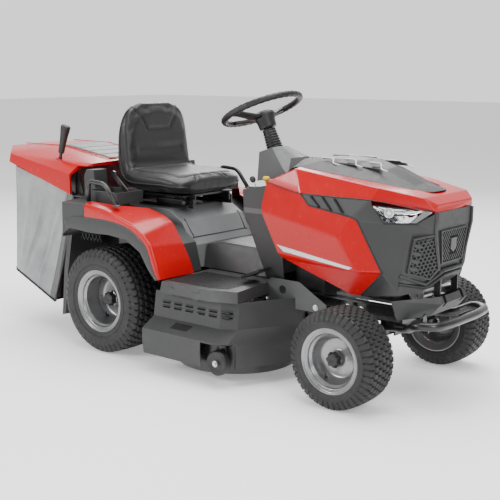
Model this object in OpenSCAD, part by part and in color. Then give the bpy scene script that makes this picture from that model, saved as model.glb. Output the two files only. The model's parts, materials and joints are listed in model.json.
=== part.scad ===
// Ride-on lawn mower with a rear grass collector.
// Millimetres, +X towards the nose, +Y to the driver's left, +Z up, ground at z = 0.
// Every module is drawn from the rear axle line and then moved to the centre of the footprint.

/* [Overall] */
// Distance from the rear axle to the front axle
wheelbase = 1189; // [1130:1:1480]
// How far the collector reaches behind the rear axle
rear_reach = 850; // [840:1:1020]
// How far the bumper reaches ahead of the front axle
nose_reach = 311; // [300:1:380]

/* [Rear wheels] */
// Outer diameter of a rear tyre
rear_tyre_d = 457; // [440:1:480]
// Width of a rear tyre
rear_tyre_w = 216; // [180:1:220]
// Distance between the centres of the rear tyres
rear_track = 712; // [700:1:820]
// Outer diameter of a rear rim's lip
rear_rim_d = 263; // [210:1:290]

/* [Front wheels] */
// Outer diameter of a front tyre
front_tyre_d = 368; // [350:1:380]
// Width of a front tyre
front_tyre_w = 165; // [130:1:180]
// Distance between the centres of the front tyres
front_track = 743; // [730:1:860]
// Outer diameter of a front rim's lip
front_rim_d = 237; // [180:1:250]
// Radius of the stub that a front wheel turns on
front_stub_r = 9.5; // [8:0.5:12]
// Sideways distance from the kingpin to the middle of the tyre
kingpin_offset = 109.5; // [106:0.5:125]

/* [Axles and fits] */
// Radius of a rear axle shaft
rear_shaft_r = 12.7; // [10:0.1:16]
// Radial running clearance of every shaft in its hole
run_gap = 0.05; // [0.02:0.01:0.09]
// Clearance between parts that pass each other
pass_gap = 3; // [1:0.5:5]

/* [Frame] */
// Height of the underside of the frame rails
rail_z = 285; // [278:1:300]
// Depth of a frame rail
rail_h = 60; // [40:1:70]
// Width of a frame rail
rail_w = 30; // [20:1:36]
// Distance from the middle of the mower to the inside of a rail
rail_in = 140; // [136:1:150]
// Thickness of the steel plate parts
plate_t = 6; // [4:0.5:10]

/* [Mowing deck] */
// Radius that each blade sweeps
blade_r = 228; // [190:1:229]
// Distance between the two blade spindles
spindle_pitch = 470; // [464:1:500]
// Height of the deck's lower lip with the deck at mid height
deck_lip_z = 42; // [38:1:60]
// Depth of the steel deck
deck_depth = 118; // [100:1:120]
// Outer diameter of a gauge wheel
gauge_d = 98; // [80:1:110]
// Radius of a blade spindle
spindle_r = 12.5; // [10:0.5:15]

/* [Body] */
// Wall of the moulded plastic panels
skin_t = 4; // [3:0.5:5]
// Half the width of the red mudguards at their outer edge
guard_half = 480; // [470:1:540]
// Height of the foot plates
floor_z = 370; // [366:1:400]

/* [Steering] */
// Outer diameter of the steering wheel
steer_d = 354; // [300:1:400]
// Thickness of the steering wheel's rim
steer_rim = 27; // [22:1:32]
// How far the steering column leans back from upright
steer_rake = 24; // [15:1:30]

/* [Seat] */
// Width of the seat cushion
seat_w = 470; // [380:1:500]
// Width of the backrest
back_w = 400; // [330:1:430]
// Height of the top of the backrest
seat_top_z = 1068; // [1000:1:1100]

/* [Collector] */
// Half the width of the grass bag
bag_half = 300; // [260:1:320]
// Thickness of the bag's cloth as a solid
bag_t = 6; // [3:1:8]

/* [Hidden] */
$fn = 64;

red = "red";
dark_grey = [0.22, 0.23, 0.24];
mid_grey = [0.42, 0.43, 0.44];
steel_black = [0.08, 0.08, 0.08];
silver = [0.75, 0.76, 0.78];
rubber_black = [0.12, 0.12, 0.12];

// The footprint's centre, measured from the rear axle
mid_x = (wheelbase + nose_reach - rear_reach) / 2;
rear_z = rear_tyre_d / 2;
front_z = front_tyre_d / 2;
rail_top = rail_z + rail_h;
rail_out = rail_in + rail_w;
rail_rear = -262;
rail_front = wheelbase + 121;

// The deck sits in the middle of the wheelbase
deck_x = wheelbase * 0.492;
deck_top = deck_lip_z + deck_depth;
deck_t = 3;
shell_r = blade_r + 12;
spindle_y = spindle_pitch / 2;
pulley_r = 60;
pulley_z = deck_top + 26;
pulley_h = 18;
gauge_x = deck_x + 122;
gauge_y = spindle_y + shell_r + 17;
gauge_z = deck_lip_z + 56;
gauge_w = 36;
gauge_pin_r = 6;

// The skirts stand outside the steel deck and end under the foot plates
skirt_half = spindle_y + shell_r + 45;
skirt_rear = deck_x - 247;
skirt_front = deck_x + 295;
skirt_low = deck_lip_z + 32;
foot_half = guard_half - 20;

kingpin_y = front_track / 2 - kingpin_offset;
kingpin_r = 10;
axle_pin_r = 10;
beam_z = 230;
arm_len = 110;
arm_z = front_z - 4;

// Middle of the steering wheel
steer_x = wheelbase - 668;
steer_z = 1039;
steer_tilt = [0, -steer_rake, 0];
tower_z = 880;
shaft_r = 9;

hood_hinge_x = wheelbase + 211;
hood_hinge_z = 370;
hood_pin_r = 6;

seat_hinge_x = 236;
seat_hinge_z = 640;
bag_hinge_x = -345;
bag_hinge_z = 745;
bag_pin_r = 8;

module place() translate([-mid_x, 0, 0]) children();
module both() {
    children();
    mirror([0, 1, 0]) children();
}
// A flat outline in X and Z, thick in Y
module slab(outline, y0, y1) translate([0, y1, 0]) rotate([90, 0,
    0]) linear_extrude(y1 - y0) polygon(outline);
module rod_x(r, x0, x1) translate([x0, 0, 0]) rotate([0, 90, 0]) cylinder(r = r, h = x1 - x0);
module rod_y(r, y0, y1) translate([0, y1, 0]) rotate([90, 0, 0]) cylinder(r = r, h = y1 - y0);
module box(low, high) translate(low) cube(high - low);

// The convex body around a list of corners
module body(corners) hull() polyhedron(corners, [[for (i = [0:len(corners) - 1]) i]]);
// A flat panel between its outer corners and the same corners pushed inwards
module panel(corners, inwards) body(concat(corners, [for (p = corners) p + inwards]));
function mirrored(corners) = [for (p = corners) [p[0], -p[1], p[2]]];
function paired(corners) = concat(corners, mirrored(corners));
function at_front(corners) = [for (p = corners) [p[0] + wheelbase, p[1], p[2]]];
// A round tube swept along a path, with a ring of flats at every point
function unit(v) = v / norm(v);
function along(path, i) = unit(path[min(i + 1, len(path) - 1)] - path[max(i - 1, 0)]);
function ring(c, t, r, sides, up) = let (u = unit(cross(up, t)), v = cross(t, u))
    [for (k = [0:sides - 1]) c + r * (cos(360 * k / sides) * u + sin(360 * k / sides) * v)];
module swept(path, r, sides = 12, up = [0, 0, 1]) {
    last = len(path) - 1;
    points = [for (i = [0:last]) each ring(path[i], along(path, i), r, sides, up)];
    start_cap = [[for (k = [0:sides - 1]) k]];
    end_cap = [[for (k = [sides - 1:-1:0]) last * sides + k]];
    walls = [for (i = [0:last - 1], k = [0:sides - 1])
        [i * sides + k, (i + 1) * sides + k, (i + 1) * sides + (k + 1) % sides,
            i * sides + (k + 1) % sides]];
    polyhedron(points, concat(start_cap, walls, end_cap), convexity = 6);
}
function turn(a, b, c, r, steps) = let (p = b + unit(a - b) * r, q = b + unit(c - b) * r)
    [for (i = [0:steps]) let (t = i / steps) (1 - t) * (1 - t) * p + 2 * t * (1 - t) * b + t * t * q];
function rounded(path, r, steps = 5) =
    [path[0], for (i = [1:len(path) - 2]) each turn(path[i - 1], path[i], path[i + 1], r, steps),
        path[len(path) - 1]];

// ---- Frame ----

// Two folded channels, open side outwards
module frame_rails() color(steel_black) place() both() difference() {
    box([rail_rear, rail_in, rail_z], [rail_front, rail_out, rail_top]);
    // open side of the folded channel
    box([rail_rear - 1, rail_in + plate_t, rail_z + plate_t],
        [rail_front + 1, rail_out + 1, rail_top - plate_t]);
}

module crossmember(x, depth) box([x, -rail_in, rail_z + 8], [x + depth, rail_in, rail_top - 8]);
// Two plates hang fore and aft of the front beam and carry its pivot pin
bracket_gap = 27;
module axle_bracket() translate([wheelbase, 0, 0]) {
    for (x = [-bracket_gap - plate_t, bracket_gap])
        box([x, -60, beam_z - 26], [x + plate_t, 60, rail_z + 8.5]);
    box([-bracket_gap - plate_t, -rail_in, rail_z + 8],
        [bracket_gap + plate_t, rail_in, rail_z + 8 + plate_t]);
    translate([0, 0, beam_z]) rod_x(axle_pin_r, -bracket_gap - plate_t - 8, bracket_gap + plate_t + 8);
}
module frame_crossmembers() color(steel_black) place() {
    crossmember(rail_rear + 6, 30);
    crossmember(deck_x - 150, 30);
    crossmember(wheelbase - 330, 30);
    crossmember(wheelbase + 85, 30);
    axle_bracket();
}

module transaxle() color([0.35, 0.36, 0.38]) place() difference() {
    union() {
        box([-105, -112, rear_z - 62], [96, 96, rear_z + 70]);
        translate([-40, 0, rear_z + 70]) cylinder(r = 46, h = 16);
        translate([0, 0, rear_z]) rod_y(40, -rear_track / 2 + 128, rear_track / 2 - 128);
    }
    for (side = [-1, 1]) translate([0, 0, rear_z])
        rod_y(rear_shaft_r + run_gap, min(side * 40, side * rear_track), max(side * 40, side * rear_track));
}

// Full-width plate behind the rails with the towing hole
hitch_r = 8;
hitch_z = 255;
module hitch_plate() color(steel_black) place() difference() {
    union() {
        box([rail_rear - plate_t, -rail_out, hitch_z - 6], [rail_rear, rail_out, rail_top]);
        box([rail_rear - 52, -45, hitch_z - 6], [rail_rear - plate_t, 45, hitch_z + 4]);
    }
    translate([rail_rear - 32, 0, hitch_z - 10]) cylinder(r = hitch_r, h = 20);
}

// ---- Engine bay ----

module engine_block() color([0.3, 0.3, 0.31]) place() translate([wheelbase - 40, 0, 0]) difference() {
    union() {
        box([-150, -130, rail_top], [150, 130, rail_top + 12]);
        translate([0, 0, rail_top + 12]) cylinder(r = 118, h = 190);
        // the two cylinders of the V stand out sideways and forwards
        for (side = [-1, 1]) translate([0, 0, rail_top + 110]) rotate([0, 0, side * 42]) rod_x(44, 60, 178);
    }
    translate([0, 0, rail_top - 1]) cylinder(r = 14, h = 60);
}
module engine_cowl() color(steel_black) place() translate([wheelbase - 40, 0,
    rail_top + 202.5]) difference() {
    union() {
        cylinder(r = 150, h = 92);
        translate([0, 0, 92]) cylinder(r = 112, h = 34);
    }
    translate([0, 0, -1]) cylinder(r = 144, h = 87);
    for (a = [0:30:330]) rotate([0, 0, a]) translate([50, -7, 100]) cube([50, 14, 40]);
}
module muffler() color([0.5, 0.5, 0.5]) place() translate([wheelbase + 140, 0, 400]) {
    rod_y(34, -100, 100);
    translate([0, -40, -54]) cylinder(r = 12, h = 40);
}
module battery() color([0.15, 0.15, 0.16]) place() {
    box([wheelbase - 380, -140, rail_top], [wheelbase - 240, -22, rail_top + 150]);
    for (y = [-122, -40]) translate([wheelbase - 270, y, rail_top + 150]) cylinder(r = 8, h = 14);
}
module fuel_tank() color([0.85, 0.85, 0.82]) place() {
    hull() for (x = [-370, -265], y = [40, 165]) translate([wheelbase + x, y, 470]) cylinder(r = 18,
        h = 160, $fn = 24);
    translate([wheelbase - 320, 100, 630]) cylinder(r = 26, h = 20);
}

// ---- Dashboard ----

dash_outer = at_front([[-584, 225, 733], [-578, 225, 642], [-524, 205, 495], [-487, 190, 378],
    [-400, 190, 378], [-400, 205, 495], [-410, 225, 642], [-430, 225, 764]]);
module dash_lower() color(dark_grey) place() difference() {
    body(paired(dash_outer));
    body(paired(at_front([[-579, 220, 728], [-573, 220, 642], [-519, 200, 495], [-482, 185, 360],
        [-390, 185, 360], [-390, 200, 495], [-390, 220, 642], [-390, 220, 770]])));
    // the column and the shaft pass through the top
    translate([steer_x, 0, steer_z]) rotate(steer_tilt) translate([0, 0, -700]) cylinder(r = 50, h = 700);
}
tower_outer = at_front([[-636, 58, 868], [-622, 88, 752], [-574, 52, 889], [-474, 112, 818],
    [-552, 20, 894], [-440, 120, 790], [-470, 60, 852]]);
module dash_tower() color(mid_grey) place() difference() {
    body(paired(tower_outer));
    body(paired(at_front([[-631, 54, 862], [-616, 82, 735], [-576, 48, 883], [-479, 106, 810],
        [-552, 18, 888], [-440, 112, 735], [-474, 55, 846]])));
    translate([steer_x, 0, steer_z]) rotate(steer_tilt) translate([0, 0, -700]) cylinder(r = 34, h = 700);
}
// Ribbed sleeve between the dashboard and the steering wheel
module column_boot() color(dark_grey) place() translate([steer_x, 0,
    steer_z]) rotate(steer_tilt) difference() {
    union() {
        translate([0, 0, -185]) cylinder(r = 33, h = 95);
        translate([0, 0, -640]) cylinder(r = 20, h = 460);
    }
    translate([0, 0, -641]) cylinder(r = shaft_r + pass_gap, h = 700);
}

// ---- Bodywork on the frame ----

module seat_console() color(mid_grey) place() difference() {
    slab([[-145, 612], [170, 612], [246, 566], [289, 499], [312, 470], [322, 372], [-145, 372]], -200, 200);
    slab([[-150, 607], [168, 607], [242, 563], [285, 497], [307, 470], [317, 360], [-150, 360]], -195, 195);
}

// Everything between the mudguards and the seat, with the wheel arches below
arch_r = rear_z + 112;
fender_top = 575;
module fender_body() color(dark_grey) place() both() {
    difference() {
        slab([[-292, 640], [-292, 560], [-200, 470], [-130, fender_top - 20], [225, fender_top - 40],
            [318, 480], [350, floor_z + 2], [364, floor_z + 2], [332, 490], [232, fender_top - 20],
            [-60, fender_top + 6], [-60, 640]], 206, guard_half - 8);
        translate([0, 0, rear_z]) rod_y(arch_r, 190, guard_half + 10);
    }
    // tray beside the seat
    difference() {
        box([-138, seat_w / 2 + 8, 639], [60, guard_half - 86, 690]);
        box([-132, seat_w / 2 + 13, 646], [54, guard_half - 92, 700]);
    }
}

// Red mudguards: a side band, a top and a slanting front
guard_edge = [[-53, 643], [60, 629], [150, 609], [230, 584], [290, 550], [336, 508], [366, 430],
    [382, floor_z + 4]];
guard_arch = [[-53, 588], [105, 584], [222, 560], [306, 505], [344, 420], [371, floor_z + 4]];
module guard_skin(i) {
    inner = [[-53, 440, 652], [60, 400, 640], [150, 300, 626], [230, 290, 602], [274, 288, 580],
        [330, 286, 500],
        [372, 285, 430], [392, 284, floor_z + 6]];
    a = guard_edge[i];
    b = guard_edge[i + 1];
    panel([[a[0], guard_half, a[1]], [b[0], guard_half, b[1]], inner[i + 1], inner[i]], [-1, 0, -skin_t]);
}
module fender_covers() color(red) place() both() {
    difference() {
        slab(concat(guard_edge, [for (i = [len(guard_arch) - 1:-1:0]) guard_arch[i]]),
            guard_half - skin_t, guard_half);
        translate([0, 0, rear_z]) rod_y(arch_r + 12, guard_half - 20, guard_half + 10);
    }
    for (i = [0:len(guard_edge) - 2]) guard_skin(i);
}

// Upright plate between the tyres and the collector
panel_half = bag_half + 30;
chute_half = 118;
ear_y = bag_half - bag_t - 32;
step_in = 252;
module rear_panel() color(dark_grey) place() {
    difference() {
        slab([[-300, 646.5], [-293, 646.5], [-293, 560], [-345, 300], [-372, 90], [-395, 84],
            [-372, 300], [-320, 570]],
            -panel_half, panel_half);
        box([-420, -chute_half - 4, 380], [-280, chute_half + 4, 606]);
        // the frame's tail and the axle pass under the plate
        box([-420, -rail_out - 20, 190], [-280, rail_out + 20, 379]);
    }
    // a hollow step at each side, between the seat and the lid
    both() {
        difference() {
            slab([[-222, 640.5], [-222, 742], [-206, 768], [-160, 768],
                [-146, 640.5]], step_in, panel_half - 4);
            slab([[-216, 630], [-216, 741], [-203, 762], [-166, 762],
                [-154, 630]], step_in + 6, panel_half - 10);
        }
        box([-300, step_in, 640.5], [-215, panel_half - 4, 646.5]);
    }
    // ears and pins that the collector tips on
    both() {
        slab([[-306, 600], [-296, 600], [-296, 655], [bag_hinge_x + 9, bag_hinge_z + 12],
            [bag_hinge_x - 12, bag_hinge_z],
            [bag_hinge_x, bag_hinge_z - 15], [-316, 640]], ear_y, ear_y + 8);
        translate([bag_hinge_x, 0, bag_hinge_z]) rod_y(bag_pin_r, ear_y, ear_y + 22);
    }
}

// Sheet-metal duct that carries the grass over the transaxle
chute_low = [[deck_x - 250, 92], [150, 320], [-60, 345], [-330, 400]];
chute_high = [[deck_x - 250, deck_top + 22], [190, 400], [0, 500], [-330, 590]];
module discharge_chute() color(steel_black) place() difference() {
    slab(concat(chute_high, [for (i = [3:-1:0]) chute_low[i]]), -chute_half, chute_half);
    slab(concat([for (p = chute_high) p + [p[0] < -300 ? -1 : (p[0] > 300 ? 1 : 0), -plate_t]],
        [for (i = [3:-1:0]) chute_low[i] + [i == 3 ? -1 : (i == 0 ? 1 : 0), plate_t]]),
        -chute_half + plate_t / 2, chute_half - plate_t / 2);
}

foot_front = deck_x + 155;
foot_outline = [[364, 152], [388, 152], [388, foot_half - 2], [foot_front - 112, foot_half],
    [foot_front, foot_half - 40],
    [foot_front - 30, 192], [foot_front - 40, 152]];
module foot_body(grow, z0, z1) {
    top = [for (p = foot_outline) [p[0] + (p[0] > 500 ? grow : 0) / 2,
        p[1] + (p[1] > 200 ? grow : 0) / 2, z1]];
    low = [for (p = foot_outline) [p[0] + (p[0] > 500 ? grow : 0), p[1] + (p[1] > 200 ? grow : 0), z0]];
    body(concat(top, low));
}
module footboards() color(dark_grey) place() both() difference() {
    foot_body(24, floor_z - 42, floor_z);
    foot_body(16, floor_z - 50, floor_z - skin_t);
    box([300, 100, floor_z - 60], [foot_front + 60, rail_out + 25, floor_z - 8]);
}

module centre_tunnel() color(dark_grey) place() difference() {
    body(paired([[326, 148, floor_z + 1], [326, 128, 470], [400, 112, 484], [foot_front - 122, 108, 479],
        [foot_front - 74, 112, 455], [foot_front - 62, 148, floor_z + 1]]));
    body(paired([[331, 143, floor_z - 5], [331, 123, 466], [400, 107, 479], [foot_front - 124, 103, 474],
        [foot_front - 80, 107, 452], [foot_front - 68, 143, floor_z - 5]]));
}

// Moulded skirts outside the deck: a bulging lower band and an inset upper band
function skirt_ring(out, z) = [[skirt_rear - out / 4, 196, z],
    [skirt_rear - out / 4, foot_half - 8 + out, z],
    [gauge_x - 20, foot_half - 8 + out, z], [gauge_x + 45, foot_half - 40 + out, z],
    [skirt_front - 10 + out / 4, 200, z], [skirt_front - 10 + out / 4, 196, z]];
module skirt_body() {
    lean = skirt_half - foot_half + 8;
    rings = [[lean - 6, skirt_low], [lean, skirt_low + 60], [lean - 2, 178], [12, 222], [0, floor_z - 44]];
    for (i = [0:len(rings) - 2])
        body(concat(skirt_ring(rings[i][0], rings[i][1]), skirt_ring(rings[i + 1][0], rings[i + 1][1])));
}
module deck_skirts() color(dark_grey) place() {
    both() difference() {
        skirt_body();
        skirt_inner();
        // room for the gauge wheel to rise
        box([gauge_x - gauge_d / 2 - 22, gauge_y - 34, 0],
            [gauge_x + gauge_d / 2 + 60, gauge_y + 90, skirt_low + 98]);
        // rows of louvre slots
        for (i = [0:5], row = [0, 1])
            box([skirt_rear + 44 + i * 62, foot_half - 40, 262 + row * 18],
                [skirt_rear + 84 + i * 62, foot_half + 40, 268 + row * 18]);
    }
    // plate between the skirts at the front
    difference() {
        box([skirt_front - 14, -200, 172], [skirt_front - 10, 200, rail_z - 6]);
        translate([0, 150, 246]) rod_x(13, 0, skirt_front + 20);
        translate([0, -150, 246]) rod_x(13, 0, skirt_front + 20);
    }
}
module skirt_inner() {
    lean = skirt_half - foot_half + 8;
    rings = [[lean - 6, skirt_low - 5], [lean, skirt_low + 60], [lean - 2, 176], [12, 220],
        [0, floor_z - 40]];
    for (i = [0:len(rings) - 2]) body([
        for (p = skirt_ring(rings[i][0], rings[i][1])) inner_point(p),
        for (p = skirt_ring(rings[i + 1][0], rings[i + 1][1])) inner_point(p)]);
}
function inner_point(p) = [p[0] + (p[0] < deck_x ? skin_t : -skin_t), p[1] > 198 ? p[1] - skin_t : 100,
    p[2]];

// Lower nose, fixed to the frame, with the hood's hinge inside
apron_points = at_front([[101, 210, 375], [189, 130, 381], [236, 85, 391],
    [124, 192, 330], [209, 120, 341],
    [247, 95, 366], [118, 190, 302], [205, 105, 317]]);
module front_apron() color(dark_grey) place() difference() {
    body(paired(apron_points));
    body(paired(at_front([[90, 205, 400], [186, 126, 400], [231, 81, 400],
        [118, 187, 330], [205, 116, 345],
        [241, 91, 366], [90, 185, 307], [200, 101, 322]])));
    // the rails' nose plate stands inside the open back
    box([wheelbase, -rail_out - 6, 290], [rail_front + 11, rail_out + 6, 400]);
    box([wheelbase, -126, 290], [wheelbase + 196, 126, 332]);
    // slots that the hood's arms swing through
    both() box([wheelbase + 198, hood_arm_y - 5, 350], [wheelbase + 260, hood_arm_y + 13, 400]);
}

bumper_r = 16;
bumper_z = 304;
bow_x = wheelbase + nose_reach - bumper_r;
bumper_path = [[rail_front - 70, 155, rail_z - 21], [rail_front + 30, 164, rail_z - 15],
    [bow_x - 84, 222, bumper_z], [bow_x - 14, 190, bumper_z], [bow_x, 90, bumper_z], [bow_x, -90, bumper_z],
    [bow_x - 14, -190, bumper_z], [bow_x - 84, -222, bumper_z], [rail_front + 30, -164, rail_z - 15],
    [rail_front - 70, -155, rail_z - 21]];
hinge_ear_y = 72;
module front_bumper() color(steel_black) place() {
    swept(rounded(bumper_path, 34, 4), bumper_r, 12);
    both() {
        // clamp under the rail
        box([rail_front - 64, rail_in + 3, rail_z - 20], [rail_front - 14, rail_out - 3, rail_z - 0.5]);
        // ear of the hood's hinge, on the nose plate
        difference() {
            slab([[rail_front + 0.5, rail_z + 4], [rail_front + 0.5, rail_top],
                [hood_hinge_x - 14, hood_hinge_z + 14],
                [hood_hinge_x + 14, hood_hinge_z + 14], [hood_hinge_x + 14, hood_hinge_z - 12],
                [rail_front + 26, rail_z + 4]], hinge_ear_y, hinge_ear_y + 8);
            translate([hood_hinge_x, 0, hood_hinge_z]) rod_y(hood_pin_r + run_gap, hinge_ear_y - 5,
                hinge_ear_y + 20);
        }
    }
    box([rail_front + 0.5, -rail_out, rail_z], [rail_front + 8, rail_out, rail_top]);
    // towing hook under the nose
    box([rail_front + 8, -34, rail_z - 44], [rail_front + 16, -4, rail_z + 30]);
    box([rail_front - 2, -24, rail_z - 60], [rail_front + 34, -14, rail_z - 42]);
}

// Two hoops behind the mudguards, to hold while climbing on
handle_path = [[-82, 428, 641.5], [-80, 428, 735], [22, 428, 728], [92, 428, 642]];
module grab_handles() color(steel_black) place() both() swept(rounded(handle_path, 26, 5), 9, 10,
    [0, 1, 0]);

// ---- Front axle and wheels ----

module front_axle_beam() color(steel_black) place() translate([wheelbase, 0, 0]) difference() {
    union() {
        box([-20, -kingpin_y, beam_z - 20], [20, kingpin_y, beam_z + 20]);
        for (side = [-1, 1]) translate([0, side * kingpin_y, beam_z - 30]) cylinder(r = 21, h = 60);
    }
    translate([0, 0, beam_z]) rod_x(axle_pin_r + run_gap, -40, 40);
    for (side = [-1, 1]) translate([0, side * kingpin_y,
        beam_z - 40]) cylinder(r = kingpin_r + run_gap, h = 80);
}
stub_out = front_track / 2 + 46;
// side is 1 for the left knuckle and -1 for the right one
module knuckle(side) color(steel_black) place() translate([wheelbase, side * kingpin_y, 0]) {
    translate([0, 0, front_z]) cylinder(r = kingpin_r, h = beam_z + 42 - front_z);
    translate([0, 0, beam_z + 30.5]) cylinder(r = 16, h = 10);
    difference() {
        union() {
            translate([0, 0, front_z - 14]) cylinder(r = 18, h = beam_z - 30.5 - front_z + 14);
            box([-arm_len, -10, arm_z - 14], [0, 10, arm_z - 6]);
            translate([-arm_len, 0, arm_z - 14]) cylinder(r = 13, h = 8);
        }
        translate([-arm_len, 0, arm_z - 20]) cylinder(r = 5 + run_gap, h = 30);
    }
    translate([0, 0, front_z]) rod_y(front_stub_r, side > 0 ? 0 : -(stub_out - kingpin_y),
        side > 0 ? stub_out - kingpin_y : 0);
}
module knuckle_left() knuckle(1);
module knuckle_right() knuckle(-1);
module tie_rod() color(steel_black) place() translate([wheelbase - arm_len, 0, 0]) {
    for (side = [-1, 1]) translate([0, side * kingpin_y, 0]) {
        translate([0, 0, arm_z - 36]) cylinder(r = 11, h = 21.5);
        translate([0, 0, arm_z - 15]) cylinder(r = 5, h = 16);
    }
    translate([0, 0, arm_z - 26]) rod_y(8, -kingpin_y, kingpin_y);
}

// A wheel's outer face looks towards +y before it is placed
module rim(lip_r, half_w, hub_r, bore_r, web_y, hub_y0, hub_y1) rotate([-90, 0,
    0]) rotate_extrude() polygon([
    [bore_r, hub_y0], [hub_r, hub_y0], [hub_r, web_y - 3], [lip_r - 42, web_y - 3],
        [lip_r - 24, -half_w + 4],
    [lip_r, -half_w], [lip_r, -half_w + 4], [lip_r - 20, -half_w + 8], [lip_r - 20, half_w - 8],
    [lip_r, half_w - 4], [lip_r, half_w], [lip_r - 24, half_w - 3], [lip_r - 30, web_y + 22],
    [lip_r - 44, web_y + 3], [hub_r, web_y + 3], [hub_r - 4, hub_y1], [bore_r, hub_y1]]);
module tyre(outer_r, half_w, lip_r, rim_half) rotate([-90, 0, 0]) rotate_extrude() polygon([
    [lip_r - 20, -rim_half + 9], [lip_r - 1, -rim_half + 5], [lip_r + 1, -rim_half + 1],
        [lip_r + 18, -half_w + 1],
    [outer_r - 40, -half_w], [outer_r - 12, -half_w + 14], [outer_r, -half_w + 40],
    [outer_r, half_w - 40], [outer_r - 12, half_w - 14], [outer_r - 40, half_w],
    [lip_r + 18, half_w - 1], [lip_r + 1, rim_half - 1], [lip_r - 1, rim_half - 5],
        [lip_r - 20, rim_half - 9]]);
module at_front_wheel(side) place() translate([wheelbase, side * front_track / 2, front_z])
    mirror([0, side > 0 ? 0 : 1, 0]) children();
module at_rear_wheel(side) place() translate([0, side * rear_track / 2, rear_z])
    mirror([0, side > 0 ? 0 : 1, 0]) children();
module front_rim(side) color(silver) at_front_wheel(side)
    rim(front_rim_d / 2, front_tyre_w / 2 - 5, 26, front_stub_r + run_gap, 10, -70, 44);
module rear_rim(side) color(silver) at_rear_wheel(side)
    rim(rear_rim_d / 2, rear_tyre_w / 2 - 5, 34, rear_shaft_r, -14, -112, 30);
module front_rim_left() front_rim(1);
module front_rim_right() front_rim(-1);
module rear_rim_left() rear_rim(1);
module rear_rim_right() rear_rim(-1);
module front_tyre(side) color(rubber_black) at_front_wheel(side)
    tyre(front_tyre_d / 2, front_tyre_w / 2, front_rim_d / 2, front_tyre_w / 2 - 5);
module rear_tyre(side) color(rubber_black) at_rear_wheel(side)
    tyre(rear_tyre_d / 2, rear_tyre_w / 2, rear_rim_d / 2, rear_tyre_w / 2 - 5);
module front_tyre_left() front_tyre(1);
module front_tyre_right() front_tyre(-1);
module rear_tyre_left() rear_tyre(1);
module rear_tyre_right() rear_tyre(-1);
// A shaft runs in the transaxle and is keyed into its wheel
module rear_axle_shaft(side) color(silver) at_rear_wheel(side) rod_y(rear_shaft_r,
    -rear_track / 2 + 50, 36);
module rear_axle_shaft_left() rear_axle_shaft(1);
module rear_axle_shaft_right() rear_axle_shaft(-1);

// ---- Steering ----

module steering_rim() color(rubber_black) place() translate([steer_x, 0,
    steer_z]) rotate(steer_tilt) difference() {
    union() {
        rotate_extrude() translate([(steer_d - steer_rim) / 2, 0]) circle(d = steer_rim, $fn = 32);
        for (a = [100, 180, 260]) rotate([0, 0, a])
            slab([[20, -52], [20, -30], [(steer_d - steer_rim) / 2, 6],
                [(steer_d - steer_rim) / 2, -8]], -16, 16);
        translate([0, 0, -86]) cylinder(r = 37, h = 62);
    }
    translate([0, 0, -90]) cylinder(r = shaft_r, h = 56);
}
module steering_shaft() color(silver) place() translate([steer_x, 0, steer_z]) rotate(steer_tilt)
    translate([0, 0, -730]) cylinder(r = shaft_r, h = 696);

// ---- Hood ----

// Corners of the left half: rear tip, ridge and seam, then down the side to the lower edge
h_tip = [-442, 249, 777];
h_ridge0 = [-322, 226, 833];
h_ridge1 = [32, 203, 783];
h_nose_a = [197, 163, 755];
h_nose_b = [236, 130, 730];
h_lip = [232, 136, 708];
h_seam = [22, 236, 742];
h_vent_top = [-282, 252, 745];
h_vent_low = [-238, 257, 702];
h_vent_end = [-50, 250, 673];
h_rear = [-463, 262, 665];
h_low = [-384, 246, 492];
h_foot = [-62, 220, 379];
h_toe = [-24, 214, 383];
h_front = [75, 234, 478];
h_brow = [-30, 244, 662];
h_crease = [-100, 269, 597];
h_knee = [-22, 262, 470];
inward_y = [0, -5, 0];
inward_z = [0, 0, -5];
// Panels that meet overlap by this much
lap = [2, 2, 1];
module hood_shell() color(red) place() difference() {
    union() {
        both() {
            panel(at_front([h_tip, h_rear, h_crease, h_vent_end, h_vent_low, h_vent_top]), inward_y);
            panel(at_front([h_rear, h_low, h_knee, h_crease]), inward_y);
            panel(at_front([h_crease, h_knee, h_front, h_brow, h_vent_end]), inward_y);
            panel(at_front([h_low, h_foot, h_toe, h_front, h_knee]), inward_y);
            panel(at_front([h_tip, h_ridge0, h_ridge1, h_seam, h_vent_top]), inward_y + inward_z);
            panel(at_front([h_ridge1 - lap, h_nose_a, h_nose_b, h_lip, h_seam - lap]), inward_y + inward_z);
            panel(at_front([h_tip, h_ridge0, [-372, 140, 826], [-432, 150, 790]]), inward_z);
            panel(at_front([h_ridge0, h_ridge1, [-22, 150, 796], [-350, 165, 833]]), inward_z);
            panel(at_front([h_ridge1, h_nose_a, [120, 100, 772], [-22, 150, 796]]), inward_z);
        }
        panel(at_front([[197, -163, 755], [197, 163, 755], [120, 100, 772], [120, -100, 772]]), inward_z);
        panel(at_front([[197, -163, 755], [197, 163, 755], [236, 130, 730],
            [236, -130, 730]]), inward_z + [-5, 0, 0]);
        panel(at_front([[232, -136, 708], [232, 136, 708], [236, 130, 730], [236, -130, 730]]), [-6, 0, 0]);
    }
    insert_body();
    both() {
        fascia_cheek(4, 34);
        lens();
    }
}
// Raised grey centre of the hood
module insert_body() body(paired(at_front([[-440, 148, 791], [-388, 160, 827], [-350, 164, 834],
    [-22, 149, 797], [120, 99, 773],
    [-378, 92, 858], [-270, 84, 864], [-130, 60, 862], [-20, 60, 835], [104, 60, 785], [183, 50, 774]])));
module hood_insert() color(dark_grey) place() difference() {
    insert_body();
    body(paired(at_front([[-450, 142, 780], [-388, 154, 818], [-350, 158, 828], [-24, 144, 790],
        [118, 94, 766],
        [-378, 88, 852], [-270, 80, 858], [-130, 56, 856], [-20, 56, 829], [104, 56, 779],
            [176, 46, 760]])));
}
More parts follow.
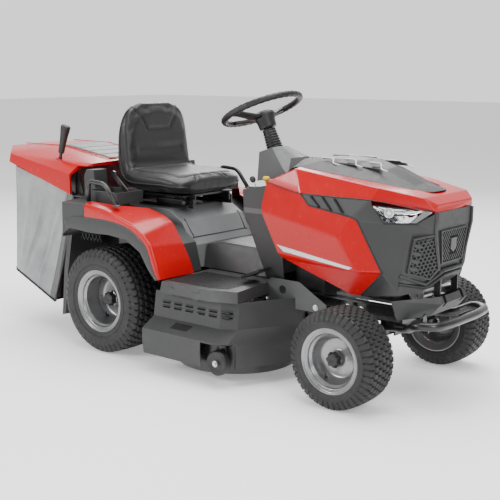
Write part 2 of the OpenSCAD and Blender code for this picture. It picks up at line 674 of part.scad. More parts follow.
// Grey nose: side cheeks, slanted mesh panels and the upright centre
f_eye = [20, 222, 720];
f_eye_low = [68, 214, 657];
f_eye_in = [179, 172, 663];
f_brow_in = [230, 133, 643];
f_top_in = [234, 128, 702];
f_cheek = [160, 180, 629];
f_low = [124, 196, 405];
f_rear_low = [-22, 210, 378];
hood_arm_y = hinge_ear_y - 12;
// The dark side of the nose: three plates, or the room they need when they are pushed outwards and made deep
module fascia_cheek(out = 0, deep = 6) {
    plates = [[h_seam, f_eye, f_eye_low, h_brow, h_vent_end, h_vent_low, h_vent_top],
        [h_brow, f_eye_low, f_cheek, f_low, h_front], [f_low, f_rear_low, h_toe, h_front]];
    for (corners = plates) panel(at_front([for (p = corners) p + [0, out, 0]]), [0, -deep, 0]);
}
module lens() panel(at_front([f_eye, [230, 133, 706], f_eye_in, f_eye_low]), [-3, -2, 0]);
module hood_fascia() color(dark_grey) place() difference() {
    fascia_body();
    both() lens();
}
module fascia_body() {
    both() {
        fascia_cheek();
        panel(at_front([f_eye_low, f_eye_in, f_brow_in, f_cheek]), [0, -4, -4]);
        panel(at_front([f_eye_in, f_top_in, f_brow_in]), [-6, -2, -5]);
        panel(at_front([f_cheek, f_brow_in, [221, 82, 482], [195, 115, 425], f_low]), [-6, 0, 0]);
        // arm down to the hinge pin
        slab([[wheelbase + 222, 474], [wheelbase + 200, 474], [hood_hinge_x - 14, hood_hinge_z - 10],
            [hood_hinge_x + 14, hood_hinge_z - 10], [hood_hinge_x + 14, hood_hinge_z + 30]],
            hood_arm_y, hood_arm_y + 8);
        translate([hood_hinge_x, 0, hood_hinge_z]) rod_y(hood_pin_r, hood_arm_y, hood_arm_y + 24);
    }
    panel(at_front([[234, -128, 702], [234, 128, 702], [230, 133, 643], [230, -133, 643]]), [-6, 0, 0]);
    panel(at_front([[230, -133, 643], [230, 133, 643], [221, 82, 482], [221, -82, 482]]), [-6, 0, 0]);
    panel(at_front([[221, -82, 482], [221, 82, 482], [236, 60, 463], [195, 115, 425],
        [195, -115, 425], [236, -60, 463]]),
        [-6, 0, 0]);
}
module headlight_lenses() color([0.9, 0.95, 1, 0.4]) place() both() lens();

// ---- Seat ----

module seat_slide() color(steel_black) place() both() {
    box([-60, 120, 612.5], [230, 150, 628]);
    difference() {
        box([seat_hinge_x - 14, 120, 612.5], [seat_hinge_x + 12, 128, seat_hinge_z + 12]);
        translate([seat_hinge_x, 0, seat_hinge_z]) rod_y(6 + run_gap, 110, 140);
    }
}
module seat_pan() color(steel_black) place() difference() {
    union() {
        box([-190, -160, 660], [220, 160, 668]);
        both() {
            slab([[seat_hinge_x - 10, seat_hinge_z - 10], [seat_hinge_x + 10, seat_hinge_z - 10],
                [seat_hinge_x + 10, 668], [180, 668], [180, 660]], 108, 116);
            translate([seat_hinge_x, 0, seat_hinge_z]) rod_y(6, 108, 130);
            translate([-150, 100, 629]) cylinder(r = 24, h = 31);
        }
    }
}
// One-piece bucket seat: cushion and backrest
seat_side = [[-206, 690], [-170, 668.3], [190, 668.3], [252, 684], [262, 722], [240, 752], [150, 762],
    [-40, 752], [-70, 775]];
back_side = [[-206, 690], [-70, 775], [-84, 860], [-104, 960], [-112, 1050], [-128, seat_top_z],
    [-152, seat_top_z - 4],
    [-185, 1000], [-228, 800]];
module seat_cushion() color(rubber_black) place() {
    slab(seat_side, -seat_w / 2, seat_w / 2);
    slab(back_side, -back_w / 2, back_w / 2);
}

// ---- Collector ----

module lid_half() body([[-rear_reach + 1, 228, 838], [-rear_reach, 228, 800], [-731, 333, 812],
    [-742, 333, 772],
    [-300, 345, 742], [-296, 343, 650], [-236, 262, 788], [-236, 262, 776], [-rear_reach + 1, 0, 845],
        [-rear_reach, 0, 800],
    [-236, 0, 796], [-236, 0, 776], [-560, 150, 843], [-560, 0, 845], [-292, 200, 776],
        [-292, 0, 776], [-742, 0, 772]]);
module collector_lid() color(red) place() difference() {
    union() {
        lid_half();
        mirror([0, 1, 0]) lid_half();
    }
    body(paired([[-rear_reach + 8, 224, 790], [-rear_reach + 8, 220, 830], [-728, 325, 803],
        [-735, 325, 760],
        [-300, 336, 736], [-290, 336, 640], [-300, 258, 770], [-rear_reach + 8, 0, 836], [-560, 148, 835],
        [-rear_reach + 8, 0, 760]]));
    box([-301, -400, 600], [-230, 400, 775]);
    translate([lever_x, lever_y, lever_z]) rotate([0, lever_lean, 0]) translate([0, 0,
        -60]) cylinder(r = lever_r + pass_gap, h = 160);
}
bag_side = [[-312, 646], [-345, 590], [-478, 131], [-500, 128], [-765, 245], [-786, 275], [-762, 740],
    [-748, 766]];
module grass_bag() color([0.62, 0.62, 0.62]) place() difference() {
    slab(bag_side, -bag_half, bag_half);
    slab([[-200, 700], [-200, 500], [-400, 131 + bag_t + 6], [-500, 128 + bag_t], [-762, 245 + bag_t + 1],
        [-786 + bag_t, 278], [-762 + bag_t, 740], [-745, 800]], -bag_half + bag_t, bag_half - bag_t);
}
// Steel hoop at the bag's mouth with the pivot plates at its top
module bag_frame() color(steel_black) place() {
    frame_out = bag_half - bag_t - 0.5;
    both() {
        slab([[-336, 612], [-352, 612], [-486, 148], [-470, 148]], frame_out - 14, frame_out);
        difference() {
            slab([[-336, 612], [-352, 612], [bag_hinge_x - 20, bag_hinge_z - 40],
                [bag_hinge_x - 16, bag_hinge_z],
                [bag_hinge_x, bag_hinge_z + 14], [bag_hinge_x + 16, bag_hinge_z],
                    [bag_hinge_x + 12, bag_hinge_z - 30]],
                frame_out - 20, frame_out - 12);
            translate([bag_hinge_x, 0, bag_hinge_z]) rod_y(bag_pin_r + run_gap, 200, 340);
        }
        box([-352, frame_out - 20, 612], [-336, frame_out, 628]);
    }
    box([-486, -frame_out + 14, 148], [-470, frame_out - 14, 162]);
    box([-352, -frame_out + 14, 612], [-336, frame_out - 14, 628]);
}
// The lever leans forwards and slides along itself
lever_x = -445;
lever_y = -278;
lever_z = 778;
lever_lean = 17;
lever_r = 7;
module tipping_lever() color(steel_black) place() translate([lever_x, lever_y, lever_z]) rotate([0,
    lever_lean, 0]) {
    translate([0, 0, -190]) cylinder(r = lever_r, h = 260);
    translate([0, 0, 60]) cylinder(r = 16, h = 122);
}

// ---- Mowing deck ----

module deck_plan(r) {
    for (side = [-1, 1]) translate([deck_x, side * spindle_y]) circle(r = r);
    translate([deck_x - r, -spindle_y]) square([r * 1.82, spindle_pitch]);
}
gauge_plate_y = gauge_y - gauge_w / 2 - 12;
module deck_shell() color(steel_black) place() difference() {
    union() {
        translate([0, 0, deck_lip_z]) linear_extrude(deck_depth) deck_plan(shell_r);
        for (side = [-1, 1]) translate([deck_x, side * spindle_y, deck_top - 30]) cylinder(r = 40, h = 50);
        both() {
            box([gauge_x - 18, gauge_plate_y, gauge_z - 16], [gauge_x + 18, gauge_plate_y + 6, deck_top]);
            box([gauge_x - 18, spindle_y + 90, deck_top - 5], [gauge_x + 18, gauge_plate_y + 6, deck_top]);
            translate([gauge_x, 0, gauge_z]) rod_y(gauge_pin_r, gauge_plate_y, gauge_y + gauge_w / 2 + 8);
        }
    }
    difference() {
        translate([0, 0,
            deck_lip_z - 1]) linear_extrude(deck_depth - deck_t + 1) deck_plan(shell_r - deck_t);
        for (side = [-1, 1]) translate([deck_x, side * spindle_y, deck_top - 30]) cylinder(r = 40, h = 40);
    }
    // grass leaves through the middle of the rear wall
    box([deck_x - shell_r - 10, -chute_half + 6, deck_lip_z - 1],
        [deck_x - shell_r + 40, chute_half - 6, deck_top - 14]);
    for (side = [-1, 1]) translate([deck_x, side * spindle_y,
        deck_lip_z]) cylinder(r = spindle_r + run_gap, h = 220);
}
// A blade turns with its spindle and its pulley
module blade(side) color(silver) place() translate([deck_x, side * spindle_y, 0]) {
    translate([0, 0, deck_lip_z + 12]) cylinder(r = spindle_r, h = pulley_z + pulley_h - deck_lip_z - 10);
    translate([0, 0, deck_lip_z + 22]) intersection() {
        cylinder(r = blade_r, h = 5);
        translate([-27, -blade_r, 0]) cube([54, blade_r * 2, 5]);
    }
    translate([0, 0, deck_lip_z + 27]) cylinder(r = 34, h = 16);
    translate([0, 0, pulley_z]) cylinder(r = pulley_r, h = pulley_h);
}
module blade_left() blade(1);
module blade_right() blade(-1);
module gauge_wheel(side) color(rubber_black) place() translate([gauge_x, side * gauge_y, gauge_z])
    rotate([-90, 0, 0]) rotate_extrude() polygon([[gauge_pin_r + run_gap, -gauge_w / 2],
        [gauge_d / 2 - 8, -gauge_w / 2],
        [gauge_d / 2, -gauge_w / 2 + 8], [gauge_d / 2, gauge_w / 2 - 8], [gauge_d / 2 - 8, gauge_w / 2],
        [gauge_pin_r + run_gap, gauge_w / 2]]);
module gauge_wheel_left() gauge_wheel(1);
module gauge_wheel_right() gauge_wheel(-1);

// ---- Controls ----

throttle_x = wheelbase - 539;
throttle_y = -200;
throttle_z = 752;
module throttle_lever() color(steel_black) place() translate([throttle_x, throttle_y,
    throttle_z]) rotate([0, -35, 0]) {
    sphere(r = 5);
    cylinder(r = 3, h = 24);
    translate([0, 0, 26]) sphere(r = 12);
}
// Knob that is pulled up to engage the blades
module pto_knob() color("gold") place() translate([wheelbase - 524, -150, 0]) {
    translate([0, 0, 750]) cylinder(r = 4, h = 16);
    translate([0, 0, 764]) cylinder(r = 14, h = 18);
}
lift_x = -4;
lift_y = -258;
lift_z = 660;
module height_lever() color(steel_black) place() translate([0, lift_y, 0]) {
    slab([[lift_x - 8, lift_z - 8], [lift_x + 8, lift_z - 4], [lift_x + 6, lift_z + 10], [-86, 742],
        [-92, 760], [-108, 764],
        [-116, 752], [-104, 736]], -4, 4);
    translate([lift_x, 0, lift_z]) rod_y(5, -8, 6);
}
pedal_x = deck_x + 60;
module pedal(side, length) {
    translate([pedal_x, side * 242, 0]) {
        slab([[0, floor_z + 16], [length, floor_z + 52], [length - 3, floor_z + 60],
            [-3, floor_z + 24]], -38, 38);
        translate([0, 0, floor_z + 20]) rod_y(5, side > 0 ? -64 : -38, side > 0 ? 38 : 64);
    }
}
module drive_pedal() color(steel_black) place() pedal(-1, 88);
module brake_pedal() color(steel_black) place() pedal(1, 76);

frame_rails();
frame_crossmembers();
transaxle();
engine_block();
engine_cowl();
muffler();
battery();
fuel_tank();
dash_lower();
dash_tower();
column_boot();
seat_console();
fender_body();
fender_covers();
rear_panel();
footboards();
centre_tunnel();
deck_skirts();
front_apron();
front_bumper();
grab_handles();
discharge_chute();
hitch_plate();
front_axle_beam();
knuckle_left();
knuckle_right();
tie_rod();
front_rim_left();
front_rim_right();
front_tyre_left();
front_tyre_right();
rear_rim_left();
rear_rim_right();
rear_tyre_left();
rear_tyre_right();
rear_axle_shaft_left();
rear_axle_shaft_right();
steering_rim();
steering_shaft();
hood_shell();
hood_insert();
hood_fascia();
headlight_lenses();
seat_slide();
seat_pan();
seat_cushion();
collector_lid();
grass_bag();
bag_frame();
tipping_lever();
deck_shell();
blade_left();
blade_right();
gauge_wheel_left();
gauge_wheel_right();
throttle_lever();
pto_knob();
height_lever();
drive_pedal();
brake_pedal();
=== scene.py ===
import json
import math

import bmesh
import bpy
import numpy as np
from mathutils import Matrix, Vector


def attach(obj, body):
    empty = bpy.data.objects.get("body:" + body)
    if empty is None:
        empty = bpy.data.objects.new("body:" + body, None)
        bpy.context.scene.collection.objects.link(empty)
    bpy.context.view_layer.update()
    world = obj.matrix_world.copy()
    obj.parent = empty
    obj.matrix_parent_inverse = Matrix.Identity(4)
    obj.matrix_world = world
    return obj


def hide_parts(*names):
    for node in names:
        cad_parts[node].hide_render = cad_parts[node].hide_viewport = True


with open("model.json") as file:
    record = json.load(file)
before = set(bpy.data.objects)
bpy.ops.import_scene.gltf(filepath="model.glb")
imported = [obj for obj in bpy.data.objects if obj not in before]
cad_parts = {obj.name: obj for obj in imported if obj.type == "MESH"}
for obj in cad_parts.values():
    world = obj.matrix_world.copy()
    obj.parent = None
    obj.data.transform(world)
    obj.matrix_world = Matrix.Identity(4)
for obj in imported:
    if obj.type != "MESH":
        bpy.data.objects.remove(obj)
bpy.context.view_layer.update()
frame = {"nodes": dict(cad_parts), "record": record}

# All outlines below are in millimetres from the rear axle line, as in the CAD part.
MID = 325.0
WB = 1189.0


def mm(x, y, z):
    """A point measured from the rear axle, in the row frame in metres."""
    return Vector(((x - MID) / 1000, y / 1000, z / 1000))


def fr(p):
    """A point whose x is measured from the front axle."""
    return mm(p[0] + WB, p[1], p[2])


# ---------------------------------------------------------------- materials

class Graph:
    """A node material that is built one socket at a time."""

    def __init__(self, name, color, rough, metallic=0.0):
        self.mat = bpy.data.materials.new(name)
        self.mat.use_nodes = True
        self.tree = self.mat.node_tree
        self.tree.nodes.clear()
        self.out = self.add("ShaderNodeOutputMaterial")
        self.bsdf = self.add("ShaderNodeBsdfPrincipled")
        self.tree.links.new(self.bsdf.outputs[0], self.out.inputs[0])
        self.put("Base Color", (*color, 1))
        self.put("Roughness", rough)
        self.put("Metallic", metallic)
        self.coord = self.add("ShaderNodeTexCoord")
        self.height = None

    def add(self, kind, **props):
        n = self.tree.nodes.new(kind)
        for k, v in props.items():
            setattr(n, k, v)
        return n

    def put(self, socket, value):
        self.bsdf.inputs[socket].default_value = value

    def link(self, a, b):
        self.tree.links.new(a, b)

    def mapping(self, scale=(1, 1, 1), rot=(0, 0, 0)):
        m = self.add("ShaderNodeMapping")
        m.inputs["Scale"].default_value = scale
        m.inputs["Rotation"].default_value = rot
        self.link(self.coord.outputs["Object"], m.inputs["Vector"])
        return m.outputs[0]

    def noise(self, scale, detail=4, rough=0.6, vector=None):
        n = self.add("ShaderNodeTexNoise")
        n.inputs["Scale"].default_value = scale
        n.inputs["Detail"].default_value = detail
        n.inputs["Roughness"].default_value = rough
        self.link(vector or self.coord.outputs["Object"], n.inputs["Vector"])
        return n.outputs["Fac"]

    def voronoi(self, scale, feature="F1", vector=None):
        n = self.add("ShaderNodeTexVoronoi", feature=feature)
        n.inputs["Scale"].default_value = scale
        self.link(vector or self.coord.outputs["Object"], n.inputs["Vector"])
        return n.outputs["Distance"]

    def wave(self, scale, vector, direction="X", distortion=0.0):
        n = self.add("ShaderNodeTexWave", wave_type="BANDS", bands_direction=direction)
        n.inputs["Scale"].default_value = scale
        n.inputs["Distortion"].default_value = distortion
        self.link(vector, n.inputs["Vector"])
        return n.outputs["Fac"]

    def math(self, op, a, b):
        n = self.add("ShaderNodeMath", operation=op)
        for i, v in enumerate((a, b)):
            if isinstance(v, (int, float)):
                n.inputs[i].default_value = v
            else:
                self.link(v, n.inputs[i])
        return n.outputs[0]

    def ramp(self, fac, stops):
        n = self.add("ShaderNodeValToRGB")
        e = n.color_ramp.elements
        while len(e) < len(stops):
            e.new(0.5)
        for i, (pos, c) in enumerate(stops):
            e[i].position = pos
            e[i].color = (*c, 1) if isinstance(c, (tuple, list)) else (c, c, c, 1)
        self.link(fac, n.inputs[0])
        return n.outputs[0]

    def color(self, socket):
        self.link(socket, self.bsdf.inputs["Base Color"])

    def rough(self, fac, lo, hi):
        self.link(self.ramp(fac, [(0.3, lo), (0.7, hi)]), self.bsdf.inputs["Roughness"])

    def bump(self, height, strength, distance):
        n = self.add("ShaderNodeBump")
        n.inputs["Strength"].default_value = strength
        n.inputs["Distance"].default_value = distance
        self.link(height, n.inputs["Height"])
        if self.height is not None:
            self.link(self.height, n.inputs["Normal"])
        self.height = n.outputs[0]
        self.link(self.height, self.bsdf.inputs["Normal"])

    def coat(self, weight, rough=0.05):
        self.put("Coat Weight", weight)
        self.put("Coat Roughness", rough)


def shades(color, spread):
    """A darker and a lighter version of a colour."""
    return tuple(c * (1 - spread) for c in color), tuple(min(1, c * (1 + spread)) for c in color)


def moulded(name, color, rough, grain=900, depth=0.00008, spread=0.08):
    """Moulded plastic with a fine grained skin and a little dust in its tone."""
    g = Graph(name, color, rough)
    dark, light = shades(color, spread)
    g.color(g.ramp(g.noise(9, 5), [(0.3, dark), (0.7, light)]))
    g.rough(g.noise(40, 3), rough - 0.06, rough + 0.07)
    g.bump(g.voronoi(grain), 0.35, depth)
    return g.mat


def painted(name, color, rough, coat=0.0, peel=220, metallic=0.0, spread=0.04, level=0.5):
    """Paint with a slight orange peel."""
    g = Graph(name, color, rough, metallic)
    dark, light = shades(color, spread)
    g.color(g.ramp(g.noise(5, 4), [(0.3, dark), (0.7, light)]))
    g.rough(g.noise(26, 4), max(0.02, rough - 0.04), rough + 0.05)
    g.bump(g.noise(peel, 2), 0.05, 0.0001)
    g.coat(coat, 0.04)
    g.put("Specular IOR Level", level)
    return g.mat


def make_materials():
    m = {}
    m["red"] = painted("red_plastic_gloss", (0.44, 0.002, 0.004), 0.24, coat=0.12, spread=0.02, level=0.3)
    m["dark"] = moulded("dark_grey_plastic", (0.028, 0.0285, 0.029), 0.46)
    m["darker"] = moulded("black_plastic", (0.007, 0.007, 0.0072), 0.45)
    # near-black matte material: painted shade, laid as sheets inside openings, slots and pockets
    m["hole"] = moulded("unlit_recess", (0.0015, 0.0015, 0.0015), 0.85)
    m["mid"] = moulded("mid_grey_plastic", (0.075, 0.076, 0.078), 0.46)
    m["light"] = moulded("light_grey_plastic", (0.16, 0.162, 0.165), 0.48)
    m["steel"] = painted("black_coated_steel", (0.01, 0.01, 0.0105), 0.3, coat=0.15, peel=400)
    m["silver"] = painted("silver_rim_paint", (0.27, 0.27, 0.275), 0.3, coat=0.2, metallic=0.8)
    m["decal"] = painted("silver_strip", (0.6, 0.61, 0.62), 0.28, metallic=0.5)
    # pale grey paint for the scoop edges: a painted highlight
    m["highlight_paint"] = painted("pale_painted_highlight", (0.7, 0.7, 0.7), 0.4)
    m["yellow"] = painted("yellow_knob", (0.85, 0.5, 0.01), 0.35, coat=0.3)
    m["tank"] = moulded("tank_plastic", (0.66, 0.65, 0.58), 0.45)

    g = Graph("bright_steel", (0.55, 0.55, 0.56), 0.3, 1.0)
    g.rough(g.noise(60, 4, vector=g.mapping((1, 14, 1))), 0.22, 0.42)
    g.bump(g.noise(420, 3), 0.15, 0.0001)
    m["bare"] = g.mat

    g = Graph("chrome_reflector", (0.86, 0.87, 0.88), 0.08, 1.0)
    g.rough(g.noise(50), 0.05, 0.12)
    m["chrome"] = g.mat

    g = Graph("cast_metal", (0.2, 0.2, 0.21), 0.62, 0.7)
    g.bump(g.noise(260, 6), 0.6, 0.0006)
    g.color(g.ramp(g.noise(30), [(0.3, (0.13, 0.13, 0.135)), (0.7, (0.25, 0.25, 0.255))]))
    m["cast"] = g.mat

    g = Graph("tyre_rubber", (0.012, 0.012, 0.012), 0.66)
    g.color(g.ramp(g.noise(14, 6), [(0.35, (0.009, 0.009, 0.009)), (0.72, (0.018, 0.018, 0.0178))]))
    g.rough(g.noise(60, 5), 0.5, 0.74)
    g.bump(g.noise(700, 4), 0.3, 0.0002)
    m["tyre"] = g.mat

    g = Graph("hard_rubber", (0.011, 0.011, 0.0115), 0.46)
    g.rough(g.noise(50, 4), 0.4, 0.58)
    g.bump(g.voronoi(1300), 0.25, 0.0001)
    m["rubber"] = g.mat

    # Vinyl: leather-like grain cells of a millimetre or two, with a soft sheen
    g = Graph("seat_vinyl", (0.009, 0.009, 0.0093), 0.42)
    g.rough(g.noise(34, 5), 0.36, 0.52)
    g.bump(g.voronoi(560, "DISTANCE_TO_EDGE"), 0.5, 0.00035)
    g.bump(g.noise(16, 3), 0.25, 0.002)
    g.put("Sheen Weight", 0.08)
    g.put("Sheen Roughness", 0.4)
    m["vinyl"] = g.mat

    # Woven cloth: two crossing sets of threads over slow colour blotches
    g = Graph("bag_weave", (0.36, 0.37, 0.38), 0.85)
    warp = g.wave(170, g.mapping(), "Z")
    weft = g.wave(170, g.mapping(rot=(0, 0, 0.8)), "X")
    threads = g.math("MULTIPLY", warp, weft)
    mixed = g.math("ADD", g.math("MULTIPLY", threads, 0.25), g.noise(6, 5))
    g.color(g.ramp(mixed, [(0.36, (0.2, 0.205, 0.21)), (0.8, (0.36, 0.365, 0.37))]))
    g.bump(threads, 0.5, 0.0006)
    g.bump(g.noise(22, 5), 0.35, 0.004)
    g.put("Sheen Weight", 0.25)
    g.put("Sheen Roughness", 0.6)
    m["cloth"] = g.mat

    # Open mesh cloth at the bag's side, drawn as a fine dark grid
    g = Graph("bag_side_mesh", (0.2, 0.2, 0.21), 0.8)
    grid = g.math("MULTIPLY", g.wave(120, g.mapping(), "Z"), g.wave(120, g.mapping(), "X"))
    g.color(g.ramp(grid, [(0.1, (0.07, 0.07, 0.072)), (0.5, (0.3, 0.305, 0.31))]))
    g.bump(grid, 0.8, 0.001)
    m["mesh"] = g.mat

    g = Graph("lamp_lens", (1, 1, 1), 0.03)
    g.put("Transmission Weight", 1.0)
    g.put("IOR", 1.25)
    g.put("Alpha", 0.35)
    g.rough(g.noise(8), 0.02, 0.06)
    m["glass"] = g.mat

    g = Graph("frosted_bulb", (0.9, 0.9, 0.88), 0.25)
    g.put("Coat Weight", 0.6)
    g.rough(g.noise(80), 0.2, 0.35)
    m["bulb"] = g.mat

    g = Graph("studio_floor", (0.96, 0.96, 0.96), 0.9)
    g.put("Emission Color", (1, 1, 1, 1))
    g.put("Emission Strength", 0.3)
    m["floor"] = g.mat
    return m


MAT = make_materials()

# ---------------------------------------------------------------- mesh tools


def finish_mesh(name, verts, faces, mat, body, smooth=True, bevel=0.0, sharp=30, thick=0.0, seg=3):
    """An object from points and faces, with optional shell thickness and rounded edges."""
    me = bpy.data.meshes.new(name)
    me.from_pydata([tuple(v) for v in verts], [], [tuple(int(i) for i in f) for f in faces])
    me.validate()
    return dress(name, me, mat, body, smooth, bevel, sharp, thick, seg)


def dress(name, me, mat, body, smooth=True, bevel=0.0, sharp=30, thick=0.0, seg=3):
    bm = bmesh.new()
    bm.from_mesh(me)
    bmesh.ops.recalc_face_normals(bm, faces=bm.faces)
    bm.to_mesh(me)
    bm.free()
    ob = bpy.data.objects.new(name, me)
    bpy.context.scene.collection.objects.link(ob)
    me.materials.append(MAT[mat])
    if bevel:
        b = ob.modifiers.new("soft", "BEVEL")
        b.width, b.segments, b.limit_method, b.angle_limit = bevel, seg, "ANGLE", math.radians(sharp)
        b.harden_normals = False
    if thick:
        s = ob.modifiers.new("skin", "SOLIDIFY")
        s.thickness, s.offset = thick, -1
    for p in me.polygons:
        p.use_smooth = smooth
    if smooth:
        w = ob.modifiers.new("normals", "WEIGHTED_NORMAL")
        w.keep_sharp = True
        w.weight = 90
    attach(ob, body)
    return ob


BODY_OF = {n: b for b, ns in frame["record"]["behaviour"]["bodies"].items() for n in ns}


def soften(node, mat, bevel, sharp=25, seg=3):
    """A copy of a CAD node with clean flat faces and rounded edges, shown in the node's place."""
    src = frame["nodes"][node]
    me = src.data.copy()
    me.transform(src.matrix_world)
    me.materials.clear()
    bm = bmesh.new()
    bm.from_mesh(me)
    bmesh.ops.remove_doubles(bm, verts=bm.verts, dist=0.00005)
    bmesh.ops.dissolve_limit(bm, angle_limit=math.radians(1.0), verts=bm.verts, edges=bm.edges)
    bm.to_mesh(me)
    bm.free()
    ob = dress(node + "_shaped", me, mat, BODY_OF[node], True, bevel, sharp, 0.0, seg)
    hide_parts(node)
    return ob


def frames(pts, closed):
    """Two normals at every point of a path, carried along it without twisting."""
    pts = np.array([tuple(p) for p in pts], float)
    n = len(pts)
    tang = np.roll(pts, -1, 0) - np.roll(pts, 1, 0)
    if not closed:
        tang[0], tang[-1] = pts[1] - pts[0], pts[-1] - pts[-2]
    tang /= np.linalg.norm(tang, axis=1)[:, None]
    up = np.array([0.0, 0, 1]) if abs(tang[0][2]) < 0.8 else np.array([0.0, 1, 0])
    u = np.cross(up, tang[0])
    out = []
    for i in range(n):
        u = u - tang[i] * np.dot(u, tang[i])
        u /= np.linalg.norm(u)
        out.append((u.copy(), np.cross(tang[i], u)))
    return pts, out


def smooth_path(pts, steps=8, closed=False):
    """A Catmull-Rom curve through the points."""
    p = [np.array(tuple(q), float) for q in pts]
    n = len(p)
    out = []
    for i in range(n if closed else n - 1):
        a, b, c, d = (p[(i + k) % n] if closed else p[min(max(i + k, 0), n - 1)] for k in (-1, 0, 1, 2))
        for j in range(steps):
            t = j / steps
            out.append(0.5 * (2 * b + (c - a) * t + (2 * a - 5 * b + 4 * c - d) * t * t
                              + (3 * b - a - 3 * c + d) * t ** 3))
    if not closed:
        out.append(p[-1])
    return out


def tube(name, pts, r, mat, body, sides=20, closed=False, flat=1.0):
    """A round bar along a path. r is one radius or one for every point."""
    pts, fr_ = frames(pts, closed)
    n = len(pts)
    rs = [r] * n if isinstance(r, (int, float)) else r
    verts, faces = [], []
    for i in range(n):
        for k in range(sides):
            a = 2 * math.pi * k / sides
            verts.append(pts[i] + rs[i] * (math.cos(a) * fr_[i][0] + flat * math.sin(a) * fr_[i][1]))
    for i in range(n if closed else n - 1):
        j = (i + 1) % n
        for k in range(sides):
            l = (k + 1) % sides
            faces.append((i * sides + k, j * sides + k, j * sides + l, i * sides + l))
    if not closed:
        faces.append(tuple(range(sides)))
        faces.append(tuple((n - 1) * sides + k for k in reversed(range(sides))))
    return finish_mesh(name, verts, faces, mat, body)


def basis(axis):
    a = np.array(axis, float)
    a /= np.linalg.norm(a)
    u = np.cross(a, [0, 0, 1.0] if abs(a[2]) < 0.9 else [1.0, 0, 0])
    u /= np.linalg.norm(u)
    return a, u, np.cross(a, u)


def lathe(name, profile, centre, axis, mat, body, n=96, bevel=0.0, lobes=None):
    """A turned piece: profile holds (radius, distance along the axis) in millimetres."""
    a, u, v = basis(axis)
    c = np.array(tuple(centre))
    verts, faces = [], []
    m = len(profile)
    for k in range(n):
        t = 2 * math.pi * k / n
        d = math.cos(t) * u + math.sin(t) * v
        for r, z in profile:
            g = lobes(t, r) if lobes else 1.0
            verts.append(c + d * r * g / 1000 + a * z / 1000)
    for k in range(n):
        l = (k + 1) % n
        for i in range(m - 1):
            faces.append((k * m + i, k * m + i + 1, l * m + i + 1, l * m + i))
    return finish_mesh(name, verts, faces, mat, body, bevel=bevel, sharp=25)


def prism(name, outline, push, mat, body, bevel=0.0015, seg=2):
    """A closed piece between an outline and the same outline moved by push."""
    n = len(outline)
    verts = [Vector(p) for p in outline] + [Vector(p) + Vector(push) for p in outline]
    faces = [tuple(range(n)), tuple(reversed(range(n, 2 * n)))]
    faces += [(i, (i + 1) % n, n + (i + 1) % n, n + i) for i in range(n)]
    return finish_mesh(name, verts, faces, mat, body, bevel=bevel, seg=seg)


def block(name, lo, hi, mat, body, bevel=0.002):
    """A box between two corners in millimetres from the rear axle."""
    (a, b, c), (d, e, f) = lo, hi
    return prism(name, [mm(a, b, c), mm(d, b, c), mm(d, e, c), mm(a, e, c)], (0, 0, (f - c) / 1000), mat,
        body, bevel)


def bolt(name, centre, axis, r, body, mat="bare"):
    """A hexagon head on a washer."""
    a, u, v = basis(axis)
    c = np.array(tuple(centre))
    verts, faces = [], []
    for rr, z, n in [(1.45 * r, 0.0, 24), (1.45 * r, 0.28 * r, 24)]:
        for k in range(n):
            t = 2 * math.pi * k / n
            verts.append(c + rr * (math.cos(t) * u + math.sin(t) * v) + a * z)
    faces += [(k, (k + 1) % 24, 24 + (k + 1) % 24, 24 + k) for k in range(24)] + [tuple(range(24, 48))]
    o = len(verts)
    for rr, z in [(r, 0.28 * r), (r, 0.85 * r), (0.86 * r, 0.98 * r)]:
        for k in range(6):
            t = math.pi * k / 3
            verts.append(c + rr * (math.cos(t) * u + math.sin(t) * v) + a * z)
    for i in range(2):
        faces += [(o + i * 6 + k, o + i * 6 + (k + 1) % 6, o + i * 6 + 6 + (k + 1) % 6,
            o + i * 6 + 6 + k) for k in range(6)]
    faces.append(tuple(o + 12 + k for k in range(6)))
    return finish_mesh(name, verts, faces, mat, body, smooth=False)


def flip(points):
    return [(p[0], -p[1], p[2]) for p in points]


def shell(name, verts_mm, faces, mat, body, bevel, thick, sharp=5, seg=4, front=True):
    pts = [fr(p) if front else mm(*p) for p in verts_mm]
    return finish_mesh(name, pts, faces, mat, body, bevel=bevel, sharp=sharp, thick=thick, seg=seg)


# ---------------------------------------------------------------- CAD nodes kept as they are, or only rounded

for node, key in {"frame_rails": "steel", "frame_crossmembers": "steel", "transaxle": "cast",
                  "engine_block": "cast", "muffler": "bare", "fuel_tank": "tank", "discharge_chute": "steel",
                  "hitch_plate": "steel", "bag_frame": "steel", "rear_axle_shaft_left": "bare",
                  "rear_axle_shaft_right": "bare", "steering_shaft": "bare", "seat_pan": "steel",
                  "blade_left": "bare", "blade_right": "bare", "battery": "darker",
                  "engine_cowl": "darker"}.items():
    o = frame["nodes"][node]
    for s in o.material_slots:
        s.material = MAT[key]

for node, key, width in [("dash_lower", "dark", 0.009), ("seat_console", "light", 0.014),
                         ("centre_tunnel", "dark", 0.012), ("fender_body", "dark", 0.004),
                         ("rear_panel", "dark", 0.005),
                         ("footboards", "dark", 0.004), ("deck_skirts", "dark", 0.005),
                         ("front_apron", "dark", 0.006),
                         ("front_axle_beam", "steel", 0.004), ("knuckle_left", "steel", 0.002),
                         ("knuckle_right", "steel", 0.002), ("tie_rod", "steel", 0.001),
                         ("seat_slide", "steel", 0.0015),
                         ("collector_lid", "red", 0.008), ("deck_shell", "steel", 0.004),
                         ("drive_pedal", "rubber", 0.003), ("brake_pedal", "rubber", 0.003),
                         ("height_lever", "steel", 0.0015), ("dash_tower", "mid", 0.008)]:
    soften(node, key, width)

# ---------------------------------------------------------------- tyres and rims


